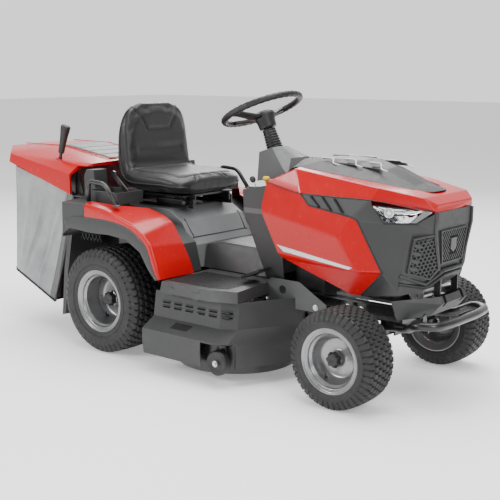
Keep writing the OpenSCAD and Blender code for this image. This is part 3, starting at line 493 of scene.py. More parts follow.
def tread_of(rows, count, wavy):
    """Height of a block tread: t is the angle in turns, s runs across the tyre from -1 to 1."""
    def height(t, s):
        row = (s + 1) / 2 * rows
        cell = np.floor(row)
        across = np.abs(row - cell - 0.5) * 2
        along = (t * count + 0.5 * (cell % 2) + wavy * np.sin(np.pi * (row - cell)) + 1) % 1.0
        gap_a = np.clip((1 - across - 0.13) / 0.1, 0, 1)
        gap_b = np.clip((0.5 - np.abs(along - 0.5) - 0.085) / 0.05, 0, 1)
        return np.minimum(gap_a, gap_b)
    return height


def make_tyre(name, node, side, centre, outer, half, lip, tread, around):
    """A tyre with a crowned tread of blocks, shoulder lugs and a smooth sidewall."""
    deep = 8
    count = around / 12
    prof, flags = [], []

    def go(points, flag):
        for p in points:
            prof.append(p)
            flags.append(flag)

    bead = [(lip - 16, -(half - 14)), (lip - 3, -(half - 9)), (lip + 1.5, -(half - 5)),
        (lip + 5, -(half - 2.5)),
            (lip + 12, -(half - 0.8)), (lip + 15, -(half - 1.2))]
    go(bead, -9)
    wall_lo, wall_hi = lip + 17, outer - 34
    for i in range(7):
        f = i / 6
        go([(wall_lo + (wall_hi - wall_lo) * f, -(half - 1.2 + 1.2 * math.sin(math.pi * f)))], -9)
    steps = 72
    edge = half - 22
    for i in range(steps + 1):
        f = -1 + 2 * i / steps
        z = f * half * 0.985
        lean = max(0.0, abs(z) - edge) / (half * 0.985 - edge)
        r = outer - 2.5 * (z / half) ** 2 * 2 - 31 * lean ** 2.1
        go([(r, z)], f)
    go([(r, -z) for r, z in reversed([p for p, fl in zip(prof, flags) if fl == -9])], -9)
    a, u, v = basis((0, side, 0))
    prof = np.array(prof)
    flags = np.array(flags)
    n = around
    t = np.arange(n) / n
    T, S = np.meshgrid(t, flags, indexing="ij")
    h = np.where(S > -2, tread(T, np.clip(S * 1.02, -1, 1)), 1.0)
    h = np.where((S > -2) & (np.abs(S) > 0.9),
                 np.clip((0.5 - np.abs((T * count) % 1.0 - 0.5) - 0.1) / 0.06, 0, 1), h)
    R = prof[:, 0][None, :] - deep * (1 - h) * (S > -2)
    ang = 2 * np.pi * T
    c = np.array(tuple(centre))
    P = (c + (np.cos(ang) * R / 1000)[..., None] * u + (np.sin(ang) * R / 1000)[..., None] * v
         + (prof[:, 1][None, :] / 1000 * np.ones_like(R))[..., None] * a)
    m = len(prof)
    idx = np.arange(n)[:, None] * m + np.arange(m - 1)[None, :]
    nxt = ((np.arange(n) + 1) % n)[:, None] * m + np.arange(m - 1)[None, :]
    faces = np.stack([idx, idx + 1, nxt + 1, nxt], -1).reshape(-1, 4)
    ob = finish_mesh(name, P.reshape(-1, 3), faces, "tyre", BODY_OF[node])
    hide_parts(node)
    for i, r in enumerate((lip + 24, lip + 27)):
        ring = [c + a * side * 0 + (math.cos(q) * u + math.sin(q) * v) * r / 1000 + a * (half - 0.6) / 1000
                for q in np.linspace(0, 2 * math.pi, 96, endpoint=False)]
        tube(f"{name}_rib{i}", ring, 0.0011, "tyre", BODY_OF[node], 8, True)
    return ob


def make_rim(name, node, side, centre, lip, half, web, hub_r, hub_out):
    """A pressed rim: rolled flange, stepped well, dished disc, hub tube and valve stem."""
    body = BODY_OF[node]
    p = [(hub_r - 9, hub_out - 3), (hub_r - 2, hub_out - 1), (hub_r, hub_out - 5), (hub_r, web + 9),
        (hub_r + 3, web + 4), (hub_r + 8, web + 2),
         (hub_r + 22, web), (lip - 50, web + 2), (lip - 42, web + 8), (lip - 37, web + 18),
         (lip - 33, web + 24),
         (lip - 30, web + 30), (lip - 29, half - 26), (lip - 27.5, half - 22), (lip - 21, half - 18),
         (lip - 19, half - 14), (lip - 18, half - 9),
         (lip - 15, half - 6), (lip - 6, half - 5), (lip - 3, half - 3.5), (lip - 1, half - 0.5),
         (lip + 1.5, half + 0.5),
         (lip + 4, half - 1), (lip + 4.5, half - 4), (lip + 1, half - 5.5)]
    p += [(lip - 1, half - 5), (lip - 12, half - 12), (lip - 22, half - 22), (lip - 34, 0),
        (lip - 22, -half + 20), (lip - 3, -half + 5),
          (lip + 3, -half + 1), (lip + 3, -half - 1), (lip - 2, -half), (lip - 24, -half + 10),
          (lip - 36, -half + 26), (lip - 38, web - 12),
          (lip - 52, web - 5), (hub_r + 6, web - 4), (hub_r, web - 8), (hub_r, -half + 10),
          (hub_r - 9, -half + 6)]
    ob = lathe(name, p, centre, (0, side, 0), "silver", body, 128)
    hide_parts(node)
    a, u, v = basis((0, side, 0))
    c = np.array(tuple(centre))
    knurl = []
    for k in range(88):
        q = 2 * math.pi * k / 88
        knurl.append(c + (math.cos(q) * u + math.sin(q) * v) * (lip - 10) / 1000 + a * (half - 5) / 1000)
    verts, faces = [], []
    for k in knurl:
        rad = (k - c) - a * np.dot(k - c, a)
        rad /= np.linalg.norm(rad)
        tan = np.cross(a, rad)
        o = len(verts)
        for sx, sy, sz in [(-1, -1, 0), (1, -1, 0), (1, 1, 0), (-1, 1, 0), (-0.5, -0.7, 1), (0.5, -0.7, 1),
            (0.5, 0.7, 1), (-0.5, 0.7, 1)]:
            verts.append(k + tan * sx * 0.0011 + rad * sy * 0.0042 + a * sz * 0.0013)
        faces += [(o + 4, o + 5, o + 6, o + 7)] + [(o + i, o + (i + 1) % 4, o + 4 + (i + 1) % 4,
            o + 4 + i) for i in range(4)]
    finish_mesh(name + "_knurl", verts, faces, "silver", body, smooth=False)
    q = math.radians(62 if side < 0 else 118)
    d = math.cos(q) * u + math.sin(q) * v
    foot = c + d * (lip - 34) / 1000 + a * (web + 24) / 1000
    tube(name + "_valve", [foot, foot + a * 0.008 - d * 0.004, foot + a * 0.016 - d * 0.012,
        foot + a * 0.02 - d * 0.022],
         [0.0052, 0.0048, 0.0036, 0.0036], "rubber", body, 14)
    return ob


def hub_cap(name, node, side, centre, r, z0, z1):
    """A star-shaped cap with rounded lobes."""
    lobes = lambda t, rad: 1 + (0.1 * math.cos(7 * t) if rad > 10 else 0)
    p = [(r + 1.5, z0), (r + 1.5, z0 + 3), (r - 1, z0 + 5), (r - 2, z1 - 4), (r - 4.5, z1 - 0.8), (r - 9, z1),
        (9, z1), (8, z1 - 2), (0.1, z1 - 2.2)]
    lathe(name, p, centre, (0, side, 0), "darker", BODY_OF[node], 140, lobes=lobes)


for side, word in ((1, "left"), (-1, "right")):
    front_c, rear_c = mm(WB, side * 371.5, 184), mm(0, side * 356, 228.5)
    make_tyre(f"front_tyre_{word}_treaded", f"front_tyre_{word}", side, front_c, 184, 82.5, 118.5,
        tread_of(7, 44, 0.1), 528)
    make_tyre(f"rear_tyre_{word}_treaded", f"rear_tyre_{word}", side, rear_c, 228.5, 108, 131.5,
        tread_of(7, 46, 0.3), 552)
    make_rim(f"front_rim_{word}_pressed", f"front_rim_{word}", side, front_c, 118.5, 77.5, 10, 26, 46)
    make_rim(f"rear_rim_{word}_pressed", f"rear_rim_{word}", side, rear_c, 131.5, 103, -14, 34, 32)
    hub_cap(f"front_hub_cap_{word}", f"front_rim_{word}", side, front_c, 27, 42, 60)
    hub_cap(f"rear_hub_cap_{word}", f"rear_rim_{word}", side, rear_c, 29, 28, 52)

# ---------------------------------------------------------------- hood

H = dict(tip=(-442, 249, 777), ridge0=(-322, 226, 833), ridge1=(32, 203, 783), nose_a=(197, 163, 755),
         nose_b=(236, 130, 730), lip=(232, 136, 708), seam=(22, 236, 742), vent_top=(-282, 252, 745),
         vent_low=(-238, 257, 702), vent_end=(-50, 250, 673), rear=(-463, 262, 665), low=(-384, 246, 492),
         foot=(-62, 220, 379), toe=(-24, 214, 383), front=(75, 234, 478), brow=(-30, 244, 662),
         crease=(-100, 269, 597), knee=(-22, 262, 470))


def side_surface(name, names, faces, mat, side, bevel=0.009, thick=0.004, shift=0.0, sharp=4):
    verts = [(H[n][0], (H[n][1] + shift) * side, H[n][2]) for n in names]
    return shell(name, verts, faces, mat, "hood", bevel, thick, sharp)


hood_parts = []
for side, word in ((1, "left"), (-1, "right")):
    names = ["tip", "rear", "vent_low", "vent_top", "crease", "vent_end", "low", "knee", "front", "brow",
        "foot", "toe"]
    faces = [(0, 1, 2, 3), (1, 4, 5, 2), (1, 6, 7, 4), (4, 7, 8, 9), (4, 9, 5), (6, 10, 11, 8, 7)]
    hood_parts.append(side_surface(f"hood_side_{word}", names, faces, "red", side, 0.013))
    # thin strip across the lower side panel, without any lettering
    low, knee, rear = (np.array(H[n], float) for n in ("low", "knee", "rear"))
    along, up = knee - low, rear - low
    quad = [(0.10, 0.13), (0.94, 0.13 - 0.05), (1.0, 0.16), (0.04, 0.26)]
    corners = [low + along * a + up * b * (1 - 0.25 * a) + np.array([0, 0.9, 0]) for a, b in quad]
    strip = [fr((c[0], c[1] * side, c[2])) for c in corners]
    ob = finish_mesh(f"hood_strip_{word}", strip, [(0, 1, 2, 3)], "decal", "hood", False, 0,
        30, 0.0006)

top_verts, top_faces = [], []


def add_top(points, face_list):
    o = len(top_verts)
    top_verts.extend(points)
    top_faces.extend([tuple(o + i for i in f) for f in face_list])


T = {**H, "in0": (-372, 140, 826), "tip_in": (-432, 150, 790), "mid0": (-350, 165, 833),
    "mid1": (-22, 150, 796),
     "mid2": (120, 100, 772)}
for side in (1, -1):
    pts = {k: (v[0], v[1] * side, v[2]) for k, v in T.items()}
    order = ["tip", "ridge0", "ridge1", "seam", "vent_top", "nose_a", "nose_b", "lip", "in0", "tip_in",
        "mid0", "mid1", "mid2"]
    add_top([pts[k] for k in order], [(0, 1, 4), (1, 2, 3, 4), (2, 5, 7, 3), (5, 6, 7), (0, 1, 8, 9),
        (1, 2, 11, 10),
                                      (1, 10, 8), (2, 5, 12, 11)])
n = 13
top_faces += [(5, 5 + n, 12 + n, 12), (5, 5 + n, 6 + n, 6), (6, 6 + n, 7 + n, 7)]
me = bpy.data.meshes.new("hood_top")
me.from_pydata([tuple(fr(p)) for p in top_verts], [], top_faces)
bm = bmesh.new()
bm.from_mesh(me)
bmesh.ops.remove_doubles(bm, verts=bm.verts, dist=0.0002)
bm.to_mesh(me)
bm.free()
hood_top = dress("hood_top", me, "red", "hood", True, 0.009, 4, 0.004, 4)
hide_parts("hood_shell")

# black tube under the top panel's edge that is painted shade in the gap, and the black rubber edge of the side panel
for side, word in ((1, "left"), (-1, "right")):
    seam = [fr((p[0], (p[1] + 0.5) * side, p[2] - 1.5)) for p in (H["tip"], H["vent_top"], H["seam"],
        H["lip"])]
    tube(f"hood_gap_painted_shade_{word}", smooth_path(seam, 6), 0.0016, "darker", "hood", 8)
    edge = [fr((p[0], (p[1] - 2) * side, p[2])) for p in (H["vent_top"], H["vent_low"], H["vent_end"],
        H["brow"], H["front"], H["toe"])]
    tube(f"hood_side_gasket_{word}", edge, 0.0034, "darker", "hood", 8)

# raised grey centre with its side walls and three scoops, each with a pale edge tube that is a painted highlight
I = [(-440, 148, 791), (-388, 160, 827), (-350, 164, 834), (-22, 149, 797), (116, 99, 768),
     (-378, 92, 858), (-270, 84, 864), (-130, 60, 862), (-20, 60, 835), (104, 60, 783), (172, 50, 765)]
verts = list(I) + flip(I) + [(-420, 0, 845), (-270, 0, 868), (-130, 0, 867), (-20, 0, 842), (104, 0, 788),
    (178, 0, 766)]
m = len(I)
faces = []
for o, s in ((0, 0), (m, m)):
    faces += [(o + 0, o + 1, o + 5), (o + 1, o + 2, o + 6, o + 5), (o + 2, o + 3, o + 8, o + 7, o + 6),
        (o + 3, o + 4, o + 9, o + 8),
              (o + 4, o + 10, o + 9)]
for o in (0, m):
    c = 2 * m
    faces += [(o + 5, c + 0, c + 1, o + 6), (o + 6, c + 1, c + 2, o + 7), (o + 7, c + 2, c + 3, o + 8),
        (o + 8, c + 3, c + 4, o + 9),
              (o + 9, c + 4, c + 5, o + 10), (o + 0, o + 5, c + 0)]
me = bpy.data.meshes.new("hood_centre")
me.from_pydata([tuple(fr(p)) for p in verts], [], faces)
centre = dress("hood_centre", me, "dark", "hood", True, 0.006, 4, 0.004, 3)
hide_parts("hood_insert")
for side, word in ((1, "left"), (-1, "right")):
    for i, (x, z0) in enumerate(((-300, 866), (-200, 866), (-92, 858))):
        y = side * (80 - i * 6)
        pts = [fr(p) for p in ((x, y, z0), (x + 46, y - side * 2, z0 - 2),
            (x + 70, y + side * 28, z0 - 16 - i), (x + 96, y + side * 26, z0 - 22 - i * 2))]
        # pale tube along the scoop's edge: painted highlight
        tube(f"scoop_painted_glint_{word}_{i}", smooth_path(pts, 5), 0.0026, "highlight_paint", "hood", 8)
        # black pocket inside each scoop's mouth: painted shade
        pocket = [fr((x + 8, y - side * 4, z0 + 1)), fr((x + 48, y - side * 6, z0)),
            fr((x + 70, y + side * 22, z0 - 12)), fr((x + 28, y + side * 26, z0 - 12))]
        wedge = [fr((x - 62, y - side * 6, z0 - 1)), fr((x + 46, y - side * 3, z0 + 1)),
            fr((x + 71, y + side * 27, z0 - 15 - i)), fr((x - 20, y + side * 24, z0 - 12 - i))]
        prism(f"scoop_wedge_{word}_{i}", wedge, (0, 0, -0.005), "mid", "hood", 0.002)
        prism(f"scoop_pocket_{word}_{i}", pocket, (0, 0, -0.004), "darker", "hood", 0.001)

# ---------------------------------------------------------------- nose

F = dict(eye=(20, 222, 720), eye_low=(68, 214, 657), eye_in=(179, 172, 663), brow_in=(230, 133, 643),
    top_in=(234, 128, 702),
         cheek=(160, 180, 629), low=(124, 196, 405), rear_low=(-22, 210, 378), mid_low=(221, 82, 482),
         chin=(195, 115, 425), chin_mid=(236, 60, 463))
nose = {**{k: H[k] for k in ("seam", "brow", "vent_end", "vent_low", "vent_top", "front", "toe")}, **F}
keys = list(nose)
verts, faces = [], []
for side in (1, -1):
    o = len(verts)
    for k in keys:
        p = nose[k]
        inset = 1.5 if k in ("brow", "vent_end", "vent_low", "vent_top", "front", "toe", "seam") else 0
        verts.append((p[0], (p[1] - inset) * side, p[2]))
    for f in (["vent_top", "vent_low", "vent_end", "seam"], ["vent_end", "brow", "eye_low", "eye", "seam"],
              ["brow", "front", "low", "cheek", "eye_low"], ["front", "toe", "rear_low", "low"],
              ["eye_low", "cheek", "brow_in", "eye_in"],
              ["eye_in", "brow_in", "top_in"], ["cheek", "low", "chin", "mid_low", "brow_in"]):
        faces.append(tuple(o + keys.index(k) for k in f))
a, b = 0, len(keys)
for f in (["top_in", "brow_in"], ["brow_in", "mid_low"], ["mid_low", "chin_mid"], ["chin_mid", "chin"]):
    i, j = (keys.index(k) for k in f)
    faces.append((a + i, a + j, b + j, b + i))
faces += [(a + keys.index("mid_low"), a + keys.index("chin_mid"), a + keys.index("chin")),
          (b + keys.index("mid_low"), b + keys.index("chin_mid"), b + keys.index("chin"))]
fascia = shell("nose_panel", verts, faces, "dark", "hood", 0.005, 0.004, 4, 3)
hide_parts("hood_fascia")


def in_plane(origin, eu, ev, n):
    """A function from plane coordinates in millimetres to a point lifted along the plane's normal."""
    return lambda u, v, w=0.0: fr(tuple(origin + eu * u + ev * v + n * w))


def plane_of(p0, p1, p2):
    p0, p1, p2 = (np.array(p, float) for p in (p0, p1, p2))
    eu = (p1 - p0) / np.linalg.norm(p1 - p0)
    n_ = np.cross(eu, p2 - p0)
    n_ /= np.linalg.norm(n_)
    return p0, eu, np.cross(n_, eu), n_


def hexagon(at, u, v, r, w):
    return [at(u + r * math.cos(math.pi * k / 3 + 0.5236), v + r * math.sin(math.pi * k / 3 + 0.5236),
        w) for k in range(6)]


def inside(poly, u, v):
    hit = False
    for (a0, b0), (a1, b1) in zip(poly, poly[1:] + poly[:1]):
        if (b0 > v) != (b1 > v) and u < (a1 - a0) * (v - b0) / (b1 - b0) + a0:
            hit = not hit
    return hit


def cells(name, shapes, mat, body, depth):
    """Many small raised or sunk polygons as one piece: a list of outlines and one push."""
    verts, faces = [], []
    for poly in shapes:
        o, k = len(verts), len(poly)
        verts += [Vector(p) for p in poly] + [Vector(p) + Vector(depth) for p in poly]
        faces += [tuple(range(o, o + k)), tuple(reversed(range(o + k, o + 2 * k)))]
        faces += [(o + i, o + (i + 1) % k, o + k + (i + 1) % k, o + k + i) for i in range(k)]
    return finish_mesh(name, verts, faces, mat, body, smooth=False)


def frame_ring(name, at, poly, grow, w0, w1, mat):
    """A raised border around a polygon."""
    c = np.mean(np.array(poly), axis=0)
    outer = [tuple(np.array(p) + (np.array(p) - c) / np.linalg.norm(np.array(p) - c) * grow) for p in poly]
    k = len(poly)
    verts = [at(u, v, w) for ring, w in ((outer, w0), (outer, w1), (poly, w1), (poly, w0)) for u, v in ring]
    faces = [(r * k + i, r * k + (i + 1) % k, (r + 1) * k + (i + 1) % k,
        (r + 1) * k + i) for r in range(3) for i in range(k)]
    return finish_mesh(name, verts, faces, mat, "hood", bevel=0.0012, sharp=30)


# side mesh panels of the nose, lifted to clear the bulge of the panel behind them
RISE = 9.0
for side, word in ((1, "left"), (-1, "right")):
    flipy = np.array([1, side, 1])
    corners = ((167, 174, 606), (222, 128, 618), (214, 90, 500), (196, 112, 462), (150, 178, 486))
    skin = np.array([fascia.closest_point_on_mesh(fr(tuple(np.array(p) * flipy)))[1][:] for p in corners]) * 1000 + np.array([MID - WB, 0, 0])
    p0 = skin.mean(axis=0)
    eu = (skin[1] - skin[0]) / np.linalg.norm(skin[1] - skin[0])
    nn = np.linalg.svd(skin - p0)[2][2]
    nn *= np.sign(nn[0])
    eu -= nn * (eu @ nn)
    eu /= np.linalg.norm(eu)
    ev = np.cross(nn, eu)
    at = in_plane(p0, eu, ev, nn)

    def to_uv(p):
        d = np.array(p, float) * flipy - p0
        return float(d @ eu), float(d @ ev)

    poly = [to_uv(p) for p in corners]
    cx, cy = np.mean(poly, axis=0)
    back = [at(u, v, RISE) for u, v in poly]
    # the near-black plate behind the mesh is painted shade for the inside of the nose
    prism(f"mesh_painted_shade_back_{word}", back, tuple(-nn * 0.003), "hole", "hood", 0.0)
    bars = []
    for i in range(-24, 25):
        for j in range(-24, 25):
            u, v = cx + i * 15.6 + (j % 2) * 7.8, cy + j * 13.5
            if inside(poly, u, v):
                outer, inner = hexagon(at, u, v, 9.3, RISE + 3.6), hexagon(at, u, v, 6.0, RISE + 3.6)
                bars += [[outer[k], outer[(k + 1) % 6], inner[(k + 1) % 6], inner[k]] for k in range(6)]
    cells(f"mesh_grid_{word}", bars, "dark", "hood", tuple(-nn * 0.003))
    frame_ring(f"mesh_frame_{word}", at, poly, 8, 0.0, RISE + 6, "dark")
    # four notches that step in from the outer edge
    outer_edge = [np.array(poly[0]), np.array(poly[4])]
    inward = np.array([cx, cy]) - (outer_edge[0] + outer_edge[1]) / 2
    inward /= np.linalg.norm(inward)
    for i in range(4):
        q = outer_edge[0] + (outer_edge[1] - outer_edge[0]) * (0.14 + 0.24 * i)
        w = (outer_edge[1] - outer_edge[0]) * 0.055
        quad = [q - w, q + w, q + w + inward * 30, q - w + inward * 30]
        prism(f"mesh_notch_{word}_{i}", [at(*p, RISE + 6.5) for p in quad], tuple(-nn * 0.008), "dark",
            "hood", 0.001)

# centre grille with slanted bars around a small plain shield, and the V-shaped trim below
p0, eu, ev, nn = plane_of((230, -133, 643), (230, 133, 643), (221, 0, 482))
if nn[0] < 0:
    nn = -nn
at = in_plane(p0, eu, ev, nn)
down = 1 if ev[2] < 0 else -1
poly = [(133 - 92, 14 * down), (133 + 92, 14 * down), (133 + 70, 128 * down), (133 - 70, 128 * down)]
# near-black plate behind the bars: painted shade for the inside of the grille
prism("grille_painted_shade_back", [at(u, v, 2.6) for u, v in poly], tuple(-nn * 0.003), "hole", "hood",
    0.0)
bars = []
for k in range(-40, 60):
    u0 = 133 + k * 14.0
    seg = [(u0 + s * 0.9, v) for s, v in ((v_, v_ * down) for v_ in range(15, 129, 3))]
    run = [q for q in seg if inside(poly, *q) and not (abs(q[0] - 133) < 25 and 38 < abs(q[1]) < 104)]
    for q0, q1 in zip(run, run[1:]):
        if abs(q1[1] - q0[1]) < 4:
            bars.append([at(q0[0] - 3.2, q0[1], 6.4), at(q0[0] + 3.2, q0[1], 6.4),
                at(q1[0] + 3.2, q1[1], 6.4), at(q1[0] - 3.2, q1[1], 6.4)])
cells("grille_bars", bars, "dark", "hood", tuple(-nn * 0.003))
frame_ring("grille_frame", at, poly, 8, 0.0, 8.5, "dark")
shield = [(133 - 20, 44 * down), (133 + 20, 44 * down), (133 + 20, 84 * down), (133, 98 * down),
    (133 - 20, 84 * down)]
prism("plain_shield", [at(u, v, 9.5) for u, v in shield], tuple(-nn * 0.006), "mid", "hood",
    0.002)
trim = [fr(p) for p in ((128, 198, 470), (192, 122, 436), (232, 68, 484), (232, -68, 484), (192, -122, 436),
    (128, -198, 470))]
tube("nose_v_trim", trim, 0.0075, "dark", "hood", 10)
# black tube just below the V trim: painted shade in the recess under it
trim = [fr((p[0], p[1], p[2])) for p in ((126, 199, 440), (192, 121, 424), (233, 64, 470), (233, -64, 470),
    (192, -121, 424), (126, -199, 440))]
tube("nose_v_painted_shade", trim, 0.006, "darker", "hood", 10)
# wrap edge where the blank upper panel meets the side
for side, word in ((1, "left"), (-1, "right")):
    pts = [fr((p[0] + 2, p[1] * side, p[2])) for p in ((234, 129, 700), (231, 134, 643), (222, 84, 486))]
    tube(f"nose_pillar_{word}", pts, 0.006, "dark", "hood", 12)

# three slanted slots in the grey panel behind each headlight, drawn as near-black cells that are painted shade inside
# the slots
for side, word in ((1, "left"), (-1, "right")):
    shapes = []
    for i in range(3):
        x = -236 + i * 52
        top = (x, 253 - i * 2, 738 - i * 1.5)
        low = (x + 42, 256.5 - i * 1.2, 700 - i * 7)
        shapes.append([fr((top[0], (top[1] + 1) * side, top[2])),
            fr((top[0] + 9, (top[1] + 1) * side, top[2])),
                       fr((low[0] + 9, (low[1] + 1) * side, low[2] - 1)),
                       fr((low[0], (low[1] + 1) * side, low[2]))])
    cells(f"hood_painted_shade_slots_{word}", shapes, "hole", "hood", (0, -0.004 * side, 0))

# ---------------------------------------------------------------- headlights

for side, word in ((1, "left"), (-1, "right")):
    eye, lip_, ein, elow = (np.array(p, float) * np.array([1, side, 1]) for p in (F["eye"], (230, 133, 706),
        F["eye_in"], F["eye_low"]))
    rows, cols = 10, 22
    verts, faces = [], []
    for i in range(rows + 1):
        for j in range(cols + 1):
            u, v = j / cols, i / rows
            p = (eye * (1 - u) + lip_ * u) * (1 - v) + (elow * (1 - u) + ein * u) * v
            bowl = (math.sin(math.pi * min(1,
                u * 1.15)) ** 0.7 if u < 0.87 else 0.1) * math.sin(math.pi * v) ** 0.7
            step = 5 * math.sin(u * 30) * math.sin(math.pi * v) if u > 0.55 else 0
            p = p + np.array([-10 - 26 * bowl, -side * (8 + 24 * bowl) + 0.0, 0]) + np.array([0, 0,
                0.4 * step])
            verts.append(fr(tuple(p)))
    for i in range(rows):
        for j in range(cols):
            o = i * (cols + 1) + j
            faces.append((o, o + 1, o + cols + 2, o + cols + 1))
    finish_mesh(f"reflector_{word}", verts, faces, "chrome", "hood", thick=0.001)
    centre_ = eye * 0.45 + lip_ * 0.17 + elow * 0.28 + ein * 0.10 + np.array([-14, -side * 12, 0])
    look = np.array([0.55, side * 0.8, 0.05])
    lathe(f"lamp_ring_{word}", [(17, 0), (19, 4), (19, 8), (16.5, 9), (14, 5), (10, 2), (0.1, 1)],
        fr(tuple(centre_)), look, "chrome", "hood", 48)
    lathe(f"lamp_bulb_{word}", [(7, 0), (8.5, 4), (8.5, 9), (6, 13), (2.5, 15), (0.1, 15.5)],
        fr(tuple(centre_)), look, "bulb", "hood", 32)
    loop = [fr(tuple(p)) for p in (eye, lip_, ein, elow)]
    tube(f"lamp_frame_{word}", loop, 0.0028, "darker", "hood", 10, True)
lens = frame["nodes"]["headlight_lenses"]
for s in lens.material_slots:
    s.material = MAT["glass"]

# ---------------------------------------------------------------- bumper, hoops, small steel

def bent(points, r, steps=7):
    """The same rounding of a tube's corners as the CAD path has."""
    p = [np.array(q, float) for q in points]
    out = [p[0]]
    for a_, b_, c_ in zip(p, p[1:], p[2:]):
        s = b_ + (a_ - b_) / np.linalg.norm(a_ - b_) * r
        e = b_ + (c_ - b_) / np.linalg.norm(c_ - b_) * r
        for i in range(steps + 1):
            t = i / steps
            out.append((1 - t) ** 2 * s + 2 * t * (1 - t) * b_ + t * t * e)
    out.append(p[-1])
    return out


BOW = 1484
bow = [(1240, 155, 264), (1340, 164, 270), (BOW - 84, 222, 304), (BOW - 14, 190, 304), (BOW, 90, 304)]
bow += [(x, -y, z) for x, y, z in reversed(bow)]
bumper = tube("bumper_bow", [mm(*p) for p in bent(bow, 34)], 0.016, "steel", "chassis", 28)
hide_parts("front_bumper")
block("nose_plate", (1310.5, -170, 285), (1318, 170, 345), "steel", "chassis")
block("tow_hook_plate", (1318, -34, 241), (1326, -4, 315), "steel", "chassis", 0.0015)
block("tow_hook_foot", (1308, -24, 225), (1343, -14, 243), "steel", "chassis", 0.0015)
for i in range(3):
    tube(f"tow_hook_slot_{i}", [mm(1326.5, -26 + i * 7, 250), mm(1326.5, -26 + i * 7, 268)], 0.0022, "bare",
        "chassis", 8)
for side, word in ((1, "left"), (-1, "right")):
    block(f"bumper_clamp_{word}", (1246, side * 155 - 12, 265), (1296, side * 155 + 12, 284.5), "steel",
        "chassis", 0.0015)
    ear = [mm(1310.5, side * 72, 289), mm(1310.5, side * 72, 345), mm(1386, side * 72, 384),
        mm(1414, side * 72, 384),
           mm(1414, side * 72, 358), mm(1336, side * 72, 289)]
    prism(f"hood_ear_{word}", ear, (0, side * 0.008, 0), "steel", "chassis", 0.001)
    bolt(f"hood_pin_head_{word}", mm(1400, side * 84, 370), (0, side, 0), 0.008, "hood")
    block(f"hood_arm_{word}", (1386, side * 64 - 4, 366), (1412, side * 64 + 4, 470), "steel", "hood",
        0.001)
    for i, (x, z) in enumerate(((1080, 316), (1140, 316), (1296, 318))):
        bolt(f"rail_bolt_{word}_{i}", mm(x, side * 170.5, z), (0, side, 0), 0.0085, "chassis")
    hoop = [mm(x, side * 428, z) for x, y, z in bent([(-82, 0, 641.5), (-80, 0, 735), (22, 0, 728),
        (92, 0, 642)], 26)]
    ob = tube(f"hoop_{word}", hoop, 0.0095, "steel", "chassis", 20)
    if side > 0:
        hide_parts("grab_handles")
    for i, x in enumerate((-82, 92)):
        lathe(f"hoop_foot_{word}_{i}", [(17, -1), (17, 2), (13, 5), (9.5, 6)], mm(x, side * 428, 642),
            (0, 0, 1), "dark", "chassis", 32)

# ---------------------------------------------------------------- steering

RAKE = math.radians(24)
COL = np.array([-math.sin(RAKE), 0, math.cos(RAKE)])
FWD = np.array([math.cos(RAKE), 0, math.sin(RAKE)])
hub = np.array(tuple(mm(521, 0, 1039)))


def on_wheel(a_deg, r, h):
    t = math.radians(a_deg)
    return hub + (math.cos(t) * FWD + math.sin(t) * np.array([0, 1.0, 0])) * r / 1000 + COL * h / 1000


ring, radii = [], []
for k in range(144):
    ring.append(on_wheel(k * 2.5, 163.5, 0))
    radii.append(0.0132 + 0.0007 * math.cos(math.radians(k * 2.5 * 36)))
rim = tube("steering_grip", ring, radii, "rubber", "steering", 22, True)
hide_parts("steering_rim")
for i, a0 in enumerate((100, 180, 260)):
    rows = []
    for j, (r, h, w, t) in enumerate(((26, -34, 30, 11), (60, -27, 24, 10), (100, -15, 20, 9),
        (132, -5, 19, 9), (158, 0, 24, 9))):
        c0 = on_wheel(a0, r, h)
        tang = on_wheel(a0 + 90, 1000, 0) - hub
        loop_ = []
        for q in range(16):
            g = 2 * math.pi * q / 16
            cx, sx = math.cos(g), math.sin(g)
            loop_.append(c0 + tang * (abs(cx) ** 0.5 * np.sign(cx)) * w / 1000 + COL * (abs(sx) ** 0.6 * np.sign(sx)) * t / 1000)
        rows.append(loop_)
    verts = [p for row in rows for p in row]
    faces = [(r * 16 + q, (r + 1) * 16 + q, (r + 1) * 16 + (q + 1) % 16,
        r * 16 + (q + 1) % 16) for r in range(4) for q in range(16)]
    faces += [tuple(reversed(range(16))), tuple(range(64, 80))]
    finish_mesh(f"spoke_{i}", verts, faces, "rubber", "steering")
    slot_ = [on_wheel(a0 + s * 4, r, h) for r, h, s in ((70, -16, -1), (118, 0, -1), (118, 0, 1),
        (70, -16, 1))]
    prism(f"spoke_inset_{i}", slot_, tuple(-COL * 0.004), "darker", "steering", 0.001)
lathe("wheel_hub", [(16, -86), (34, -84), (37, -76), (38, -56), (44, -42), (46, -30), (43, -20), (34, -15),
    (14, -13), (0.1, -13)], hub, COL, "rubber", "steering", 72, bevel=0.001)
lathe("wheel_hub_ring", [(34, -15), (33, -12.6), (30.5, -12.6), (29.5, -14.5)], hub, COL, "dark", "steering",
    72)
badge = [on_wheel(a_, r, -12.4) for a_, r in ((60, 15), (120, 15), (160, 20), (200, 20), (240, 15), (300, 15),
    (330, 9), (30, 9))]
prism("plain_red_badge", badge, tuple(-COL * 0.002), "red", "steering", 0.0008)

boot = []
for i in range(9):
    z = -186 + i * 11
    boot += [(31.5 - i * 0.7, z), (35.5 - i * 0.9, z + 2.2), (35.5 - i * 0.9, z + 5.6),
        (31 - i * 0.7, z + 7.8)]
boot = [(13, -640), (20, -639), (20, -200), (30, -188)] + boot + [(22, -89), (13, -89)]
ob = lathe("boot_ribbed", boot, hub, COL, "darker", "chassis", 72)
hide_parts("column_boot")
lathe("tower_collar", [(36, -193), (46, -193), (47, -188), (44, -184), (36, -183)], hub, COL, "dark",
    "chassis", 64)

# ---------------------------------------------------------------- dashboard controls

